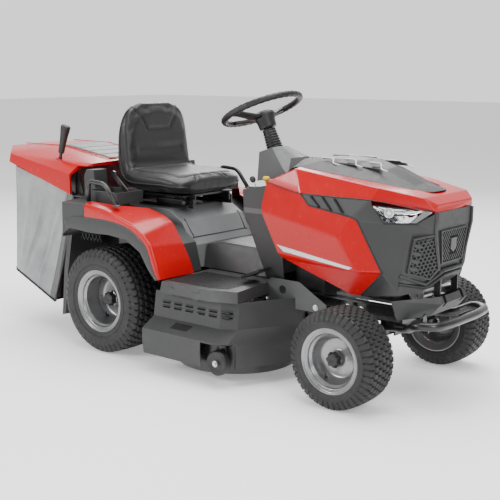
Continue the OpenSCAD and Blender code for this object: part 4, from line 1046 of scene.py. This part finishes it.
lathe("throttle_knob", [(0.1, -14), (6, -13), (10.5, -8), (12, 0), (10.5, 7.5), (6, 11.5), (0.1, 12.4)],
    mm(650 - 14.9, -200, 773.3), (-0.574, 0, 0.819), "rubber", "throttle", 40)
ob = tube("throttle_stem", [mm(650, -200, 750), mm(650 - 10, -200, 766)], 0.003, "bare", "throttle",
    12)
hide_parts("throttle_lever")
ob = lathe("blade_knob", [(4, 750), (4, 763), (9, 764), (13, 767), (14.5, 773), (13.5, 779), (9, 782.6),
    (0.1, 783)], mm(665, -150, 0), (0, 0, 1), "yellow", "pto", 48, lobes=lambda t,
    r: 1 + (0.03 * math.cos(10 * t) if r > 9 else 0))
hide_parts("pto_knob")
block("throttle_gate", (628, -216, 741), (672, -184, 745), "darker", "chassis", 0.001)
for side, word in ((1, "left"), (-1, "right")):
    band = [mm(609, side * 226, 662), mm(613, side * 226, 641), mm(780, side * 226, 641),
        mm(780, side * 226, 662)]
    prism(f"dash_band_{word}", band, (0, -side * 0.002, 0), "mid", "chassis", 0.001)
for i in range(5):
    lathe(f"key_ring_{i}", [(9, 0), (9, 3), (6.5, 4), (0.1, 4)], mm(600 + 3, -120 + i * 60, 700),
        (-1, 0, 0.1), "bare" if i == 2 else "darker", "chassis", 28)

# ---------------------------------------------------------------- deck, skirts and footboards

for side, word in ((1, "left"), (-1, "right")):
    c0 = mm(707, side * 492, 98)
    p = [(6.1, -18), (12, -18), (13, -14), (32, -14), (38, -17.5), (44, -17), (48, -13), (49, -6), (49, 6),
        (48, 13), (44, 17), (38, 17.8), (33, 14), (15, 12), (12, 17), (6.1, 17)]
    ob = lathe(f"gauge_roller_{word}", p, c0, (0, side, 0), "rubber", f"gauge_{word[0]}", 72)
    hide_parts(f"gauge_wheel_{word}")
    bolt(f"gauge_nut_{word}", mm(707, side * (492 + 19), 98), (0, side, 0), 0.0085, "deck")
    # louvre lips over every slot, with near-black backs behind them that are painted shade inside the slots
    slots_, lips = [], []
    for row in (0, 1):
        for i in range(6):
            x, z = 585 - 247 + 44 + i * 62, 262 + row * 18
            y = 452 + 12 * (1 - (z - 222) / (326 - 222)) + 0.6
            lips.append([mm(x - 1, side * y, z + 6.6), mm(x + 41, side * y, z + 6.6),
                mm(x + 41, side * (y + 2.2), z + 9.5), mm(x - 1, side * (y + 2.2), z + 9.5)])
            slots_.append([mm(x, side * (y - 5), z), mm(x + 40, side * (y - 5), z),
                mm(x + 40, side * (y - 5), z + 6), mm(x, side * (y - 5), z + 6)])
    cells(f"louvre_lips_{word}", lips, "dark", "chassis", (0, 0, 0.001))
    cells(f"louvre_painted_shade_backs_{word}", slots_, "hole", "chassis", (0, -0.002 * side, 0))
    # near-black sheet in the pocket in the shoulder of the lower band: painted shade inside the pocket
    pocket = [mm(448, side * 509, 184), mm(536, side * 509, 184), mm(560, side * 477, 214),
        mm(470, side * 477, 214)]
    prism(f"skirt_painted_shade_pocket_{word}", pocket, (0, -side * 0.002, 0.001), "hole", "chassis", 0.001)
    # ribbed tread on the foot plate
    ribs = []
    for i in range(24):
        x = 396 + i * 12.5
        y1 = 440 if x < 620 else 440 - (x - 620) * 0.35
        ribs.append([mm(x, side * 214, 370), mm(x + 5, side * 214, 370), mm(x + 5, side * y1, 370),
            mm(x, side * y1, 370)])
    cells(f"foot_ribs_{word}", ribs, "darker", "chassis", (0, 0, 0.0016))
    for i, x in enumerate((420, 560)):
        block(f"foot_clip_{word}_{i}", (x, side * 473 - 5, 322), (x + 36, side * 473 + 5, 356), "dark",
            "chassis", 0.002)
    # pedal pads
    pedal = "drive_pedal" if side < 0 else "brake_pedal"
    length = 88 if side < 0 else 76
    grooves = []
    for i in range(6):
        f0 = 0.1 + i * 0.14
        x0, z0 = 645 + length * f0, 386 + 8 + 36 * f0
        x1, z1 = 645 + length * (f0 + 0.06), 386 + 8 + 36 * (f0 + 0.06)
        grooves.append([mm(x0, side * 242 - 33, z0), mm(x1, side * 242 - 33, z1), mm(x1, side * 242 + 33, z1),
            mm(x0, side * 242 + 33, z0)])
    cells(pedal + "_ribs", grooves, "darker", BODY_OF[pedal], (0, 0, 0.0028))

# the round hole rims of the plate ahead of the deck
for side in (1, -1):
    lathe(f"skirt_hole_rim_{'l' if side > 0 else 'r'}", [(13, 0), (16, 0), (16, 1.5), (13, 2)],
        mm(870.5, side * 150, 246), (1, 0, 0), "dark", "chassis", 40)

# ---------------------------------------------------------------- mudguards

G = [(-53, 643), (60, 629), (150, 609), (230, 584), (290, 550), (336, 508), (366, 430), (382, 374)]
A = [(-53, 588), (105, 584), (222, 560), (306, 505), (344, 420), (371, 374)]
N = [(-53, 440, 652), (60, 400, 640), (150, 300, 626), (230, 290, 602), (274, 288, 580), (330, 286, 500),
    (372, 285, 430), (392, 284, 376)]
for side, word in ((1, "left"), (-1, "right")):
    verts = [mm(x, side * 480, z) for x, z in G] + [mm(x, side * 480, z) for x,
        z in A] + [mm(x, side * y, z) for x, y, z in N]
    g0, a0, n0 = 0, len(G), len(G) + len(A)
    faces = [(g0 + i, g0 + i + 1, n0 + i + 1, n0 + i) for i in range(len(G) - 1)]
    pairs = [(0, 0), (2, 1), (4, 2), (5, 3), (6, 4), (7, 5)]
    for (ga, aa), (gb, ab) in zip(pairs, pairs[1:]):
        faces.append(tuple([a0 + aa] + [g0 + k for k in range(ga, gb + 1)] + [a0 + ab]))
    ob = finish_mesh(f"mudguard_{word}", verts, faces, "red", "chassis", bevel=0.012, sharp=8,
        thick=0.004, seg=4)
    lip = [mm(x, side * 478, z - 1) for x, z in A]
    tube(f"mudguard_edge_{word}", smooth_path(lip, 4), 0.004, "dark", "chassis", 8)
    # dark trim band that follows the wheel arch below the red
    upper = [np.array([x, z], float) for x, z in [(-190, 560), (-130, 584)] + A]
    widths = (34, 58, 64, 60, 52, 46, 28, 16)
    arch = []
    for k in range(57):
        f = min(k / 8, len(upper) - 1.001)
        p = upper[int(f)] * (1 - f % 1) + upper[int(f) + 1] * (f % 1)
        w = widths[int(f)] * (1 - f % 1) + widths[int(f) + 1] * (f % 1)
        q = p - (p - np.array([0, 228.5])) / np.linalg.norm(p - np.array([0, 228.5])) * w
        arch.append((mm(q[0], side * 476, q[1]), mm(p[0], side * 476, p[1])))
    verts = [p for pair in arch for p in pair]
    faces = [(2 * k, 2 * k + 1, 2 * k + 3, 2 * k + 2) for k in range(56)]
    finish_mesh(f"arch_band_{word}", verts, faces, "dark", "chassis", bevel=0.0015, sharp=30,
        thick=0.004)
    # open wire grid above the tyre
    wires = []
    for k in range(6):
        x = -170 + k * 22
        wires.append([mm(x, side * 400, 512), mm(x + 2, side * 400, 512), mm(x + 26, side * 400, 472),
            mm(x + 24, side * 400, 472)])
        wires.append([mm(x + 24, side * 401, 512), mm(x + 26, side * 401, 512), mm(x + 2, side * 401, 472),
            mm(x, side * 401, 472)])
    cells(f"arch_grid_{word}", wires, "dark", "chassis", (0, 0.002 * side, 0))
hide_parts("fender_covers")

# the outer half of the mudguard's tail is drawn in, so that the rear panel stands clear of it
for v in bpy.data.objects["fender_body_shaped"].data.vertices:
    if abs(v.co.y) > 0.4 and v.co.x * 1000 + MID < -205:
        v.co.x = (-205 - MID) / 1000

# black tube in the recessed groove of the seat base's front panel: painted shade in the groove
groove = [mm(238, 176, 573), mm(286, 168, 502), mm(288, 150, 498), mm(288, -150, 498), mm(286, -168, 502),
    mm(238, -176, 573)]
tube("console_painted_shade_groove", smooth_path(groove, 6), 0.0035, "darker", "chassis", 8)
for i in range(2):
    block(f"tunnel_step_{i}", (470 + i * 60, -60, 478), (505 + i * 60, 60, 482), "darker", "chassis",
        0.0015)

# lighter plates beside the rails, each with a round hole, between the deck and the front axle
for side, word in ((1, "left"), (-1, "right")):
    outline = [(690, 282), (690, 352), (742, 392), (880, 392), (1010, 318), (1010, 282)]
    plate = [mm(x, side * 214, z) for x, z in outline]
    prism(f"rail_plate_{word}", plate, (0, -side * 0.004, 0), "mid", "chassis", 0.0015)
    lathe(f"rail_plate_hole_{word}", [(0.1, 0.4), (13, 0.4), (13.5, 1.2), (16, 1.2), (17, 0)],
        mm(800, side * 214, 352), (0, side, 0), "darker", "chassis", 32)
    for i, (x, z) in enumerate(((720, 305), (960, 302))):
        bolt(f"rail_plate_bolt_{word}_{i}", mm(x, side * 214, z), (0, side, 0), 0.008, "chassis")

# ---------------------------------------------------------------- seat

# Middle of the seat's shell from the front edge, over the crease and up the back: x, z, half width, half thickness, bolster
SPINE = [(252, 716, 150, 20, 0), (240, 716, 190, 34, 4), (205, 717, 216, 40, 10), (130, 718, 229, 42, 16),
    (45, 716, 232, 43, 20),
         (-32, 716, 226, 44, 24), (-86, 728, 217, 48, 28), (-112, 764, 210, 52, 30), (-122, 815, 207, 51, 30),
         (-124, 880, 205, 46, 26),
         (-120, 940, 201, 40, 20), (-112, 995, 184, 32, 14), (-104, 1034, 146, 24, 8), (-98, 1055, 92, 14, 3)]


def spine_at(f):
    f *= len(SPINE) - 1
    i = min(int(f), len(SPINE) - 2)
    t = f - i
    p = [np.array(SPINE[min(max(i + k, 0), len(SPINE) - 1)], float) for k in (-1, 0, 1, 2)]
    return 0.5 * (2 * p[1] + (p[2] - p[0]) * t + (2 * p[0] - 5 * p[1] + 4 * p[2] - p[3]) * t * t
                  + (3 * p[1] - p[0] - 3 * p[2] + p[3]) * t ** 3)


def seat_point(f, a, grow=0.0):
    """A point of the seat's skin: f runs along the spine, a is the angle round it, 90 degrees is the sitting side."""
    x, z, w, t, bol = spine_at(f)
    x1, z1 = spine_at(min(1, f + 0.01))[:2]
    x0, z0 = spine_at(max(0, f - 0.01))[:2]
    d = np.array([x1 - x0, z1 - z0])
    d /= np.linalg.norm(d)
    nx, nz = d[1], -d[0]            # towards the driver
    ca, sa = math.cos(a), math.sin(a)
    cy = (abs(ca) ** 0.72) * np.sign(ca)
    ct = (abs(sa) ** 0.78) * np.sign(sa)
    y = (w + grow) * cy
    lift = bol * min(1, abs(y) / w) ** 2.6 - 4
    h = (t + grow) * ct + lift * (1 if ct > 0 else 0.35)
    return mm(x + nx * h, y, z + nz * h)


def build_seat():
    rings, around = 64, 72
    verts, faces = [], []
    for i in range(rings + 1):
        for k in range(around):
            verts.append(seat_point(i / rings, 2 * math.pi * k / around))
    for i in range(rings):
        for k in range(around):
            l = (k + 1) % around
            faces.append((i * around + k, i * around + l, (i + 1) * around + l, (i + 1) * around + k))
    faces += [tuple(reversed(range(around))), tuple(range(rings * around, (rings + 1) * around))]
    me = bpy.data.meshes.new("seat_base")
    me.from_pydata([tuple(v) for v in verts], [], faces)
    bm = bmesh.new()
    bm.from_mesh(me)
    bmesh.ops.recalc_face_normals(bm, faces=bm.faces)
    bm.to_mesh(me)
    bm.free()
    ob = bpy.data.objects.new("seat_vinyl_cover", me)
    bpy.context.scene.collection.objects.link(ob)
    bpy.context.view_layer.objects.active = ob
    me.remesh_voxel_size = 0.006
    with bpy.context.temp_override(active_object=ob, object=ob, selected_objects=[ob]):
        bpy.ops.object.voxel_remesh()
    base = np.array([v.co[:] for v in ob.data.vertices])
    cloth = ob.modifiers.new("cloth", "CLOTH")
    cs = cloth.settings
    cs.use_pressure = True
    cs.uniform_pressure_force = 4
    cs.effector_weights.gravity = 0
    cs.quality = 4
    cs.tension_stiffness = cs.compression_stiffness = 30
    cs.bending_stiffness = 6
    sc = bpy.context.scene
    for f in range(1, 21):
        sc.frame_set(f)
    dg = bpy.context.evaluated_depsgraph_get()
    got = np.array([v.co[:] for v in ob.evaluated_get(dg).to_mesh().vertices])
    ob.modifiers.remove(cloth)
    sc.frame_set(1)
    move = got - base
    far = np.linalg.norm(move, axis=1)[:, None]
    move *= np.minimum(1, 0.0075 / np.maximum(far, 1e-9))
    ob.data.vertices.foreach_set("co", (base + move).ravel())
    sm = ob.modifiers.new("even", "SMOOTH")
    sm.iterations = 5
    with bpy.context.temp_override(active_object=ob, object=ob, selected_objects=[ob]):
        bpy.ops.object.modifier_apply(modifier="even")
    return ob


def surface_path(ob, fa, steps=14):
    """A path given as (f, y in millimetres) on the sitting side, laid on the seat's real skin."""
    bpy.context.evaluated_depsgraph_get()  # brings the skin up to date for closest_point_on_mesh
    out = []
    for (f0, y0), (f1, y1) in zip(fa, fa[1:]):
        for j in range(steps):
            t = j / steps
            out.append((f0 + (f1 - f0) * t, y0 + (y1 - y0) * t))
    out.append(fa[-1])
    pts = []
    for f, y in out:
        w = spine_at(f)[2]
        a = math.acos(max(-1, min(1, np.sign(y) * (min(1, abs(y) / w)) ** (1 / 0.72))))
        p = seat_point(f, a, 12)
        _, loc, nor, _ = ob.closest_point_on_mesh(p)
        pts.append((np.array(loc), np.array(nor)))
    return pts


def press(ob, lines, depth, width):
    """Presses a soft valley into the skin along each line."""
    co = np.empty(len(ob.data.vertices) * 3)
    ob.data.vertices.foreach_get("co", co)
    co = co.reshape(-1, 3)
    nor = np.array([v.normal[:] for v in ob.data.vertices])
    for pts in lines:
        line = np.array([p for p, _ in pts])
        lo, hi = line.min(0) - width * 3, line.max(0) + width * 3
        near = np.where(((co > lo) & (co < hi)).all(1))[0]
        d = np.min(np.linalg.norm(co[near][:, None, :] - line[None, :, :], axis=2), axis=1)
        co[near] -= nor[near] * (depth * np.exp(-(d / width) ** 2))[:, None]
    ob.data.vertices.foreach_set("co", co.ravel())
    ob.data.update()


seat = build_seat()
# seams: a trapezoid on the back, an inset panel and a front seam on the cushion
F_MID = 0.775
seams = [[(0.965, -140), (0.86, -100), (F_MID, -66), (F_MID, 66), (0.86, 100), (0.965, 140)],
         [(0.44, -168), (0.30, -172), (0.16, -160), (0.135, -130), (0.125, 0), (0.135, 130), (0.16, 160),
         (0.30, 172), (0.44, 168)],
         [(0.125, -80), (0.03, -96)], [(0.125, 80), (0.03, 96)]]
lines = [surface_path(seat, s) for s in seams]
press(seat, lines, 0.0035, 0.008)
fold = [surface_path(seat, [(0.565, -150), (0.56, 0), (0.565, 150)]),
    surface_path(seat, [(0.66, -120), (0.655, 0), (0.66, 120)])]
press(seat, fold, 0.005, 0.02)
press(seat, [surface_path(seat, [(0.62, -178), (0.8, -172), (0.93, -150)]),
    surface_path(seat, [(0.62, 178), (0.8, 172), (0.93, 150)])], -0.003, 0.02)
sub = seat.modifiers.new("fine", "SUBSURF")
sub.levels = sub.render_levels = 1
seat.data.materials.clear()
seat.data.materials.append(MAT["vinyl"])
for p in seat.data.polygons:
    p.use_smooth = True
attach(seat, "seat")
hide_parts("seat_cushion")
for i, pts in enumerate(lines):
    line = []
    for p, n_ in pts:
        _, loc, nor, _ = seat.closest_point_on_mesh(Vector(p))
        line.append(np.array(loc) + np.array(nor) * 0.0004)
    tube(f"seat_welt_{i}", line, 0.0016, "vinyl", "seat", 8)
    # stitches either side of the welt
    stitches = []
    dist = 0.0
    for (q0, q1, (_, n_)) in zip(line, line[1:], pts):
        seg = q1 - q0
        length = np.linalg.norm(seg)
        d = seg / max(length, 1e-9)
        side_v = np.cross(n_, d)
        k = int(length / 0.0065) or 1
        for j in range(k):
            c = q0 + seg * (j + 0.5) / k
            for s in (-1, 1):
                m0 = c + side_v * s * 0.0048 + n_ * 0.0010
                stitches.append([m0 - d * 0.0021 - side_v * 0.0005, m0 + d * 0.0021 - side_v * 0.0005,
                    m0 + d * 0.0021 + side_v * 0.0005, m0 - d * 0.0021 + side_v * 0.0005])
    cells(f"seat_stitches_{i}", stitches, "rubber", "seat", (0, 0, 0.0006))
piping = []
for s in (-1, 1):
    row = []
    for j in range(60):
        f = 0.02 + 0.96 * j / 59
        p = seat_point(f, math.radians(-9) if s > 0 else math.radians(189), 10)
        _, loc, nor, _ = seat.closest_point_on_mesh(p)
        row.append(np.array(loc) + np.array(nor) * 0.001)
    piping.append(row)
tube("seat_piping", smooth_path(piping[1][::3], 3), 0.0036, "vinyl", "seat", 10)
tube("seat_piping_left", smooth_path(piping[0][::3], 3), 0.0036, "vinyl", "seat", 10)
# springs and the adjuster below the seat
for side, word in ((1, "left"), (-1, "right")):
    coil = [mm(-150 + 17 * math.cos(t), side * 100 + 17 * math.sin(t),
        631 + 28 * t / (10 * math.pi)) for t in np.linspace(0, 10 * math.pi, 130)]
    tube(f"seat_spring_{word}", coil, 0.0028, "steel", "seat", 8)
    block(f"seat_rail_cover_{word}", (60, side * 150 - 12, 629), (215, side * 150 + 12, 652), "darker",
        "seat_base", 0.003)
    block(f"seat_bracket_{word}", (150, side * 136 - 6, 628), (200, side * 136 + 6, 662), "steel",
        "seat_base", 0.002)
tube("seat_adjust_bar", smooth_path([mm(150, -165, 634), mm(205, -170, 636), mm(248, -186, 640),
    mm(262, -204, 646)], 8), 0.0045, "steel", "seat_base", 12)
tube("seat_adjust_grip", [mm(244, -184, 639), mm(262, -204, 646), mm(266, -210, 648)], [0.008, 0.0085, 0.006],
    "rubber", "seat_base", 14)

# ---------------------------------------------------------------- collector

TOP_F, LOW_F = np.array([-318.0, 636.0]), np.array([-484.0, 129.0])
TOP_R, LOW_R = np.array([-752.0, 752.0]), np.array([-776.0, 252.0])
BAG_Y = 297.0


def bag_wall(u, v):
    """The bag's side, back and side again: u from 0 to 3, v from the lid (0) to the lower edge (1)."""
    f = TOP_F * (1 - v) + LOW_F * v
    r = TOP_R * (1 - v) + LOW_R * v
    y_half = BAG_Y - 10 * math.sin(math.pi * v) * 0.4
    if u < 1:
        x, z, y = *(f * (1 - u) + r * u), -y_half
        n_ = np.array([0, -1.0, 0])
        k = u
    elif u < 2:
        x, z, y = *r, -y_half + 2 * y_half * (u - 1)
        n_ = np.array([-1.0, 0, 0])
        k = u - 1
    else:
        x, z, y = *(r * (3 - u) + f * (u - 2)), y_half
        n_ = np.array([0, 1.0, 0])
        k = 3 - u
    p = np.array([x, y, z])
    edge = math.sin(math.pi * min(max(u - math.floor(u), 0), 1)) if u < 3 else 0
    sag = math.sin(math.pi * v) ** 0.8
    if 1 <= u < 2:
        p += n_ * 26 * edge ** 0.7 * math.sin(math.pi * (0.15 + 0.8 * v))
        p += n_ * 3.5 * math.sin(11 * u + 9 * v) * edge * sag
    else:
        # pulled flat between the frame and the lid, with slanted folds towards the lower corners
        folds = 0
        for a_, b_, wd, h in ((0.28, 1.4, 0.035, 13), (0.36, 1.1, 0.03, -9), (0.55, 2.0, 0.04, -12),
            (0.62, 1.6, 0.03, 10), (0.78, 0.9, 0.035, 12), (0.90, 2.4, 0.03, 8), (0.14, 0.35, 0.04, -6)):
            d = (k - a_) - (v - 0.5) * 0.22 * b_
            folds += h * math.exp(-(d / wd) ** 2) * sag
        p += n_ * (folds * edge ** 0.5 - 11 * edge * math.sin(math.pi * v) ** 1.5 + 2.0 * math.sin(7 * k + 13 * v) * edge * sag)
    # the two upright corners at the back are rounded after this, by smoothing the grid
    return p


nu, nv = 210, 60
grid = np.array([[bag_wall(3 * i / nu, j / nv) for j in range(nv + 1)] for i in range(nu + 1)])
for _ in range(10):
    core = grid[1:-1].copy()
    near = np.array([min(abs(3 * i / nu - 1), abs(3 * i / nu - 2)) < 0.12 for i in range(1, nu)])[:, None,
        None]
    avg = (grid[:-2] + grid[2:]) / 2
    grid[1:-1] = np.where(near, avg * 0.7 + core * 0.3, core)
verts = [mm(*p) for p in grid.reshape(-1, 3)]
faces = [(i * (nv + 1) + j, (i + 1) * (nv + 1) + j, (i + 1) * (nv + 1) + j + 1,
    i * (nv + 1) + j + 1) for i in range(nu) for j in range(nv)]
bag = finish_mesh("grass_bag_cloth", verts, faces, "cloth", "collector")
bag.modifiers.clear()
bag.data.materials.append(MAT["mesh"])
for k, p in enumerate(bag.data.polygons):
    u = 3 * (k // nv) / nu
    if u < 0.13 or u > 2.87:
        p.material_index = 1
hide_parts("grass_bag")
bottom = []
for i in range(25):
    t = i / 24
    for j in range(21):
        s = -1 + 2 * j / 20
        f = LOW_F * (1 - t) + LOW_R * t
        bottom.append(mm(f[0], s * (BAG_Y - 3),
            f[1] + 4 - 16 * math.sin(math.pi * t) * math.cos(s * math.pi / 2) * 0.4))
faces = [(i * 21 + j, (i + 1) * 21 + j, (i + 1) * 21 + j + 1,
    i * 21 + j + 1) for i in range(24) for j in range(20)]
finish_mesh("bag_floor", bottom, faces, "dark", "collector", thick=0.002)
for side, word in ((1, "left"), (-1, "right")):
    low = [mm(*(p + np.array([0, side * 1.5, 0]))) for p in (grid[0:nu // 3 + 2:4,
        nv] if side < 0 else grid[nu:2 * nu // 3 - 2:-4, nv])]
    tube(f"bag_low_binding_{word}", low, 0.005, "darker", "collector", 10)
    fe = [mm(*(p + np.array([2, side * 1, 0]))) for p in (grid[0, ::4] if side < 0 else grid[nu, ::4])]
    tube(f"bag_front_binding_{word}", fe, 0.005, "darker", "collector", 10)
    ce = [mm(*(p + np.array([-0.5, side * 0.5, 0]))) for p in (grid[nu // 3,
        ::4] if side < 0 else grid[2 * nu // 3, ::4])]
    tube(f"bag_corner_seam_{word}", ce, 0.0028, "cloth", "collector", 8)
    i_s = 9 if side < 0 else nu - 9
    seam = [mm(*(p + np.array([0, side * 0.8, 0]))) for p in grid[i_s, ::3]]
    tube(f"bag_side_seam_{word}", seam, 0.0018, "cloth", "collector", 8)
back = [mm(*(p + np.array([-1.5, 0, 0]))) for p in grid[nu // 3:2 * nu // 3 + 1:3, nv]]
tube("bag_back_binding", back, 0.005, "darker", "collector", 10)
handle = smooth_path([mm(-806, -90, 470), mm(-826, -70, 480), mm(-828, 0, 482), mm(-826, 70, 480),
    mm(-806, 90, 470)], 8)
tube("bag_back_handle", handle, 0.009, "darker", "collector", 14, flat=0.5)


def lid_z(x):
    return 845.0 if x < -560 else 845.0 - (x + 560) * 49 / 324


# grey slats sunk in a dark tray in the middle of the lid
x_edges = [-640, -566, -492, -418, -344, -270]
for i, (xa, xb) in enumerate(zip(x_edges, x_edges[1:])):
    quad = [mm(xa + 4, -118, lid_z(xa + 4) + 0.6), mm(xb - 4, -118, lid_z(xb - 4) + 0.6),
        mm(xb - 4, 118, lid_z(xb - 4) + 0.6), mm(xa + 4, 118, lid_z(xa + 4) + 0.6)]
    prism(f"lid_slat_{i}", quad, (0, 0, 0.0022), "light", "collector", 0.0012)
tray = [mm(x, y, lid_z(x) + 0.2) for x, y in ((-646, -124), (-560, -124), (-264, -124), (-264, 124),
    (-560, 124), (-646, 124))]
finish_mesh("lid_slat_tray", tray, [(0, 1, 4, 5), (1, 2, 3, 4)], "darker", "collector", False,
    thick=0.001)
for s in (-1, 1):
    ridge = [mm(-838, s * 150, 846), mm(-560, s * 138, 846), mm(-262, s * 136, lid_z(-262) + 0.5)]
    tube(f"lid_ridge_{'l' if s > 0 else 'r'}", ridge, 0.004, "red", "collector", 10, flat=0.5)

LEAN = math.radians(17)
ax = np.array([math.sin(LEAN), 0, math.cos(LEAN)])
base = np.array(tuple(mm(-445, -278, 778)))
grip = [(7.2, 50), (12.5, 51), (14, 58), (15, 90), (18, 130), (22, 165), (22.5, 174), (20, 180.5),
    (12, 182.7), (0.1, 183)]
lathe("tip_lever_grip", grip, base, ax, "rubber", "tip_lever", 48)
ob = lathe("tip_lever_rod", [(0.1, -190), (6.9, -190), (7, 55)], base, ax, "steel", "tip_lever",
    32)
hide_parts("tipping_lever")
lathe("lever_collar", [(10.5, 14), (17, 14), (19, 17), (15, 24), (10.5, 25)], base, ax, "red", "collector",
    40)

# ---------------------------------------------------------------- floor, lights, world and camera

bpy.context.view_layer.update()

me = bpy.data.meshes.new("studio_floor")
me.from_pydata([(-30, -30, 0), (30, -30, 0), (30, 30, 0), (-30, 30, 0)], [], [(0, 1, 2, 3)])
floor = bpy.data.objects.new("studio_floor", me)
bpy.context.scene.collection.objects.link(floor)
me.materials.append(MAT["floor"])


def softbox(name, at, look, size, power):
    d = bpy.data.lights.new(name, "AREA")
    d.shape, d.size, d.size_y, d.energy = "RECTANGLE", size[0], size[1], power
    o = bpy.data.objects.new(name, d)
    bpy.context.scene.collection.objects.link(o)
    o.location = at
    o.rotation_euler = (Vector(look) - Vector(at)).to_track_quat("-Z", "Y").to_euler()


softbox("top_box", (0.2, 0.4, 4.2), (0, 0, 0.4), (4.6, 3.2), 290)
softbox("key_box", (4.4, -2.4, 2.8), (0.3, 0, 0.5), (1.5, 2.4), 120)
softbox("side_box", (-1.9, -4.2, 2.5), (-0.1, 0, 0.5), (2.2, 0.8), 130)
softbox("rim_box", (-2.5, 3.6, 3.0), (0, 0, 0.6), (3.0, 2.0), 120)

# a pale room that is bright behind the mower and dim behind the viewer
world = bpy.data.worlds.new("studio")
world.use_nodes = True
nt = world.node_tree
coord = nt.nodes.new("ShaderNodeTexCoord")
dot = nt.nodes.new("ShaderNodeVectorMath")
dot.operation = "DOT_PRODUCT"
dot.inputs[1].default_value = (-0.64, 0.76, 0.1)
ramp = nt.nodes.new("ShaderNodeValToRGB")
ramp.color_ramp.elements[0].position, ramp.color_ramp.elements[0].color = 0.0, (0.3, 0.3, 0.3, 1)
ramp.color_ramp.elements[1].position, ramp.color_ramp.elements[1].color = 0.8, (1, 1, 1, 1)
nt.links.new(coord.outputs["Generated"], dot.inputs[0])
nt.links.new(dot.outputs["Value"], ramp.inputs["Fac"])
nt.links.new(ramp.outputs["Color"], nt.nodes["Background"].inputs["Color"])
nt.nodes["Background"].inputs["Strength"].default_value = 1.3
bpy.context.scene.world = world

cam_data = bpy.data.cameras.new("camera")
cam_data.lens, cam_data.sensor_width = 72.94, 36
cam_data.shift_x, cam_data.shift_y = 0.0136, 0.0058
cam = bpy.data.objects.new("camera", cam_data)
bpy.context.scene.collection.objects.link(cam)
cam.location = (2.849, -3.298, 1.209)
cam.rotation_euler = (math.radians(90 - 10.37), 0, math.radians(39.87))
bpy.context.scene.camera = cam
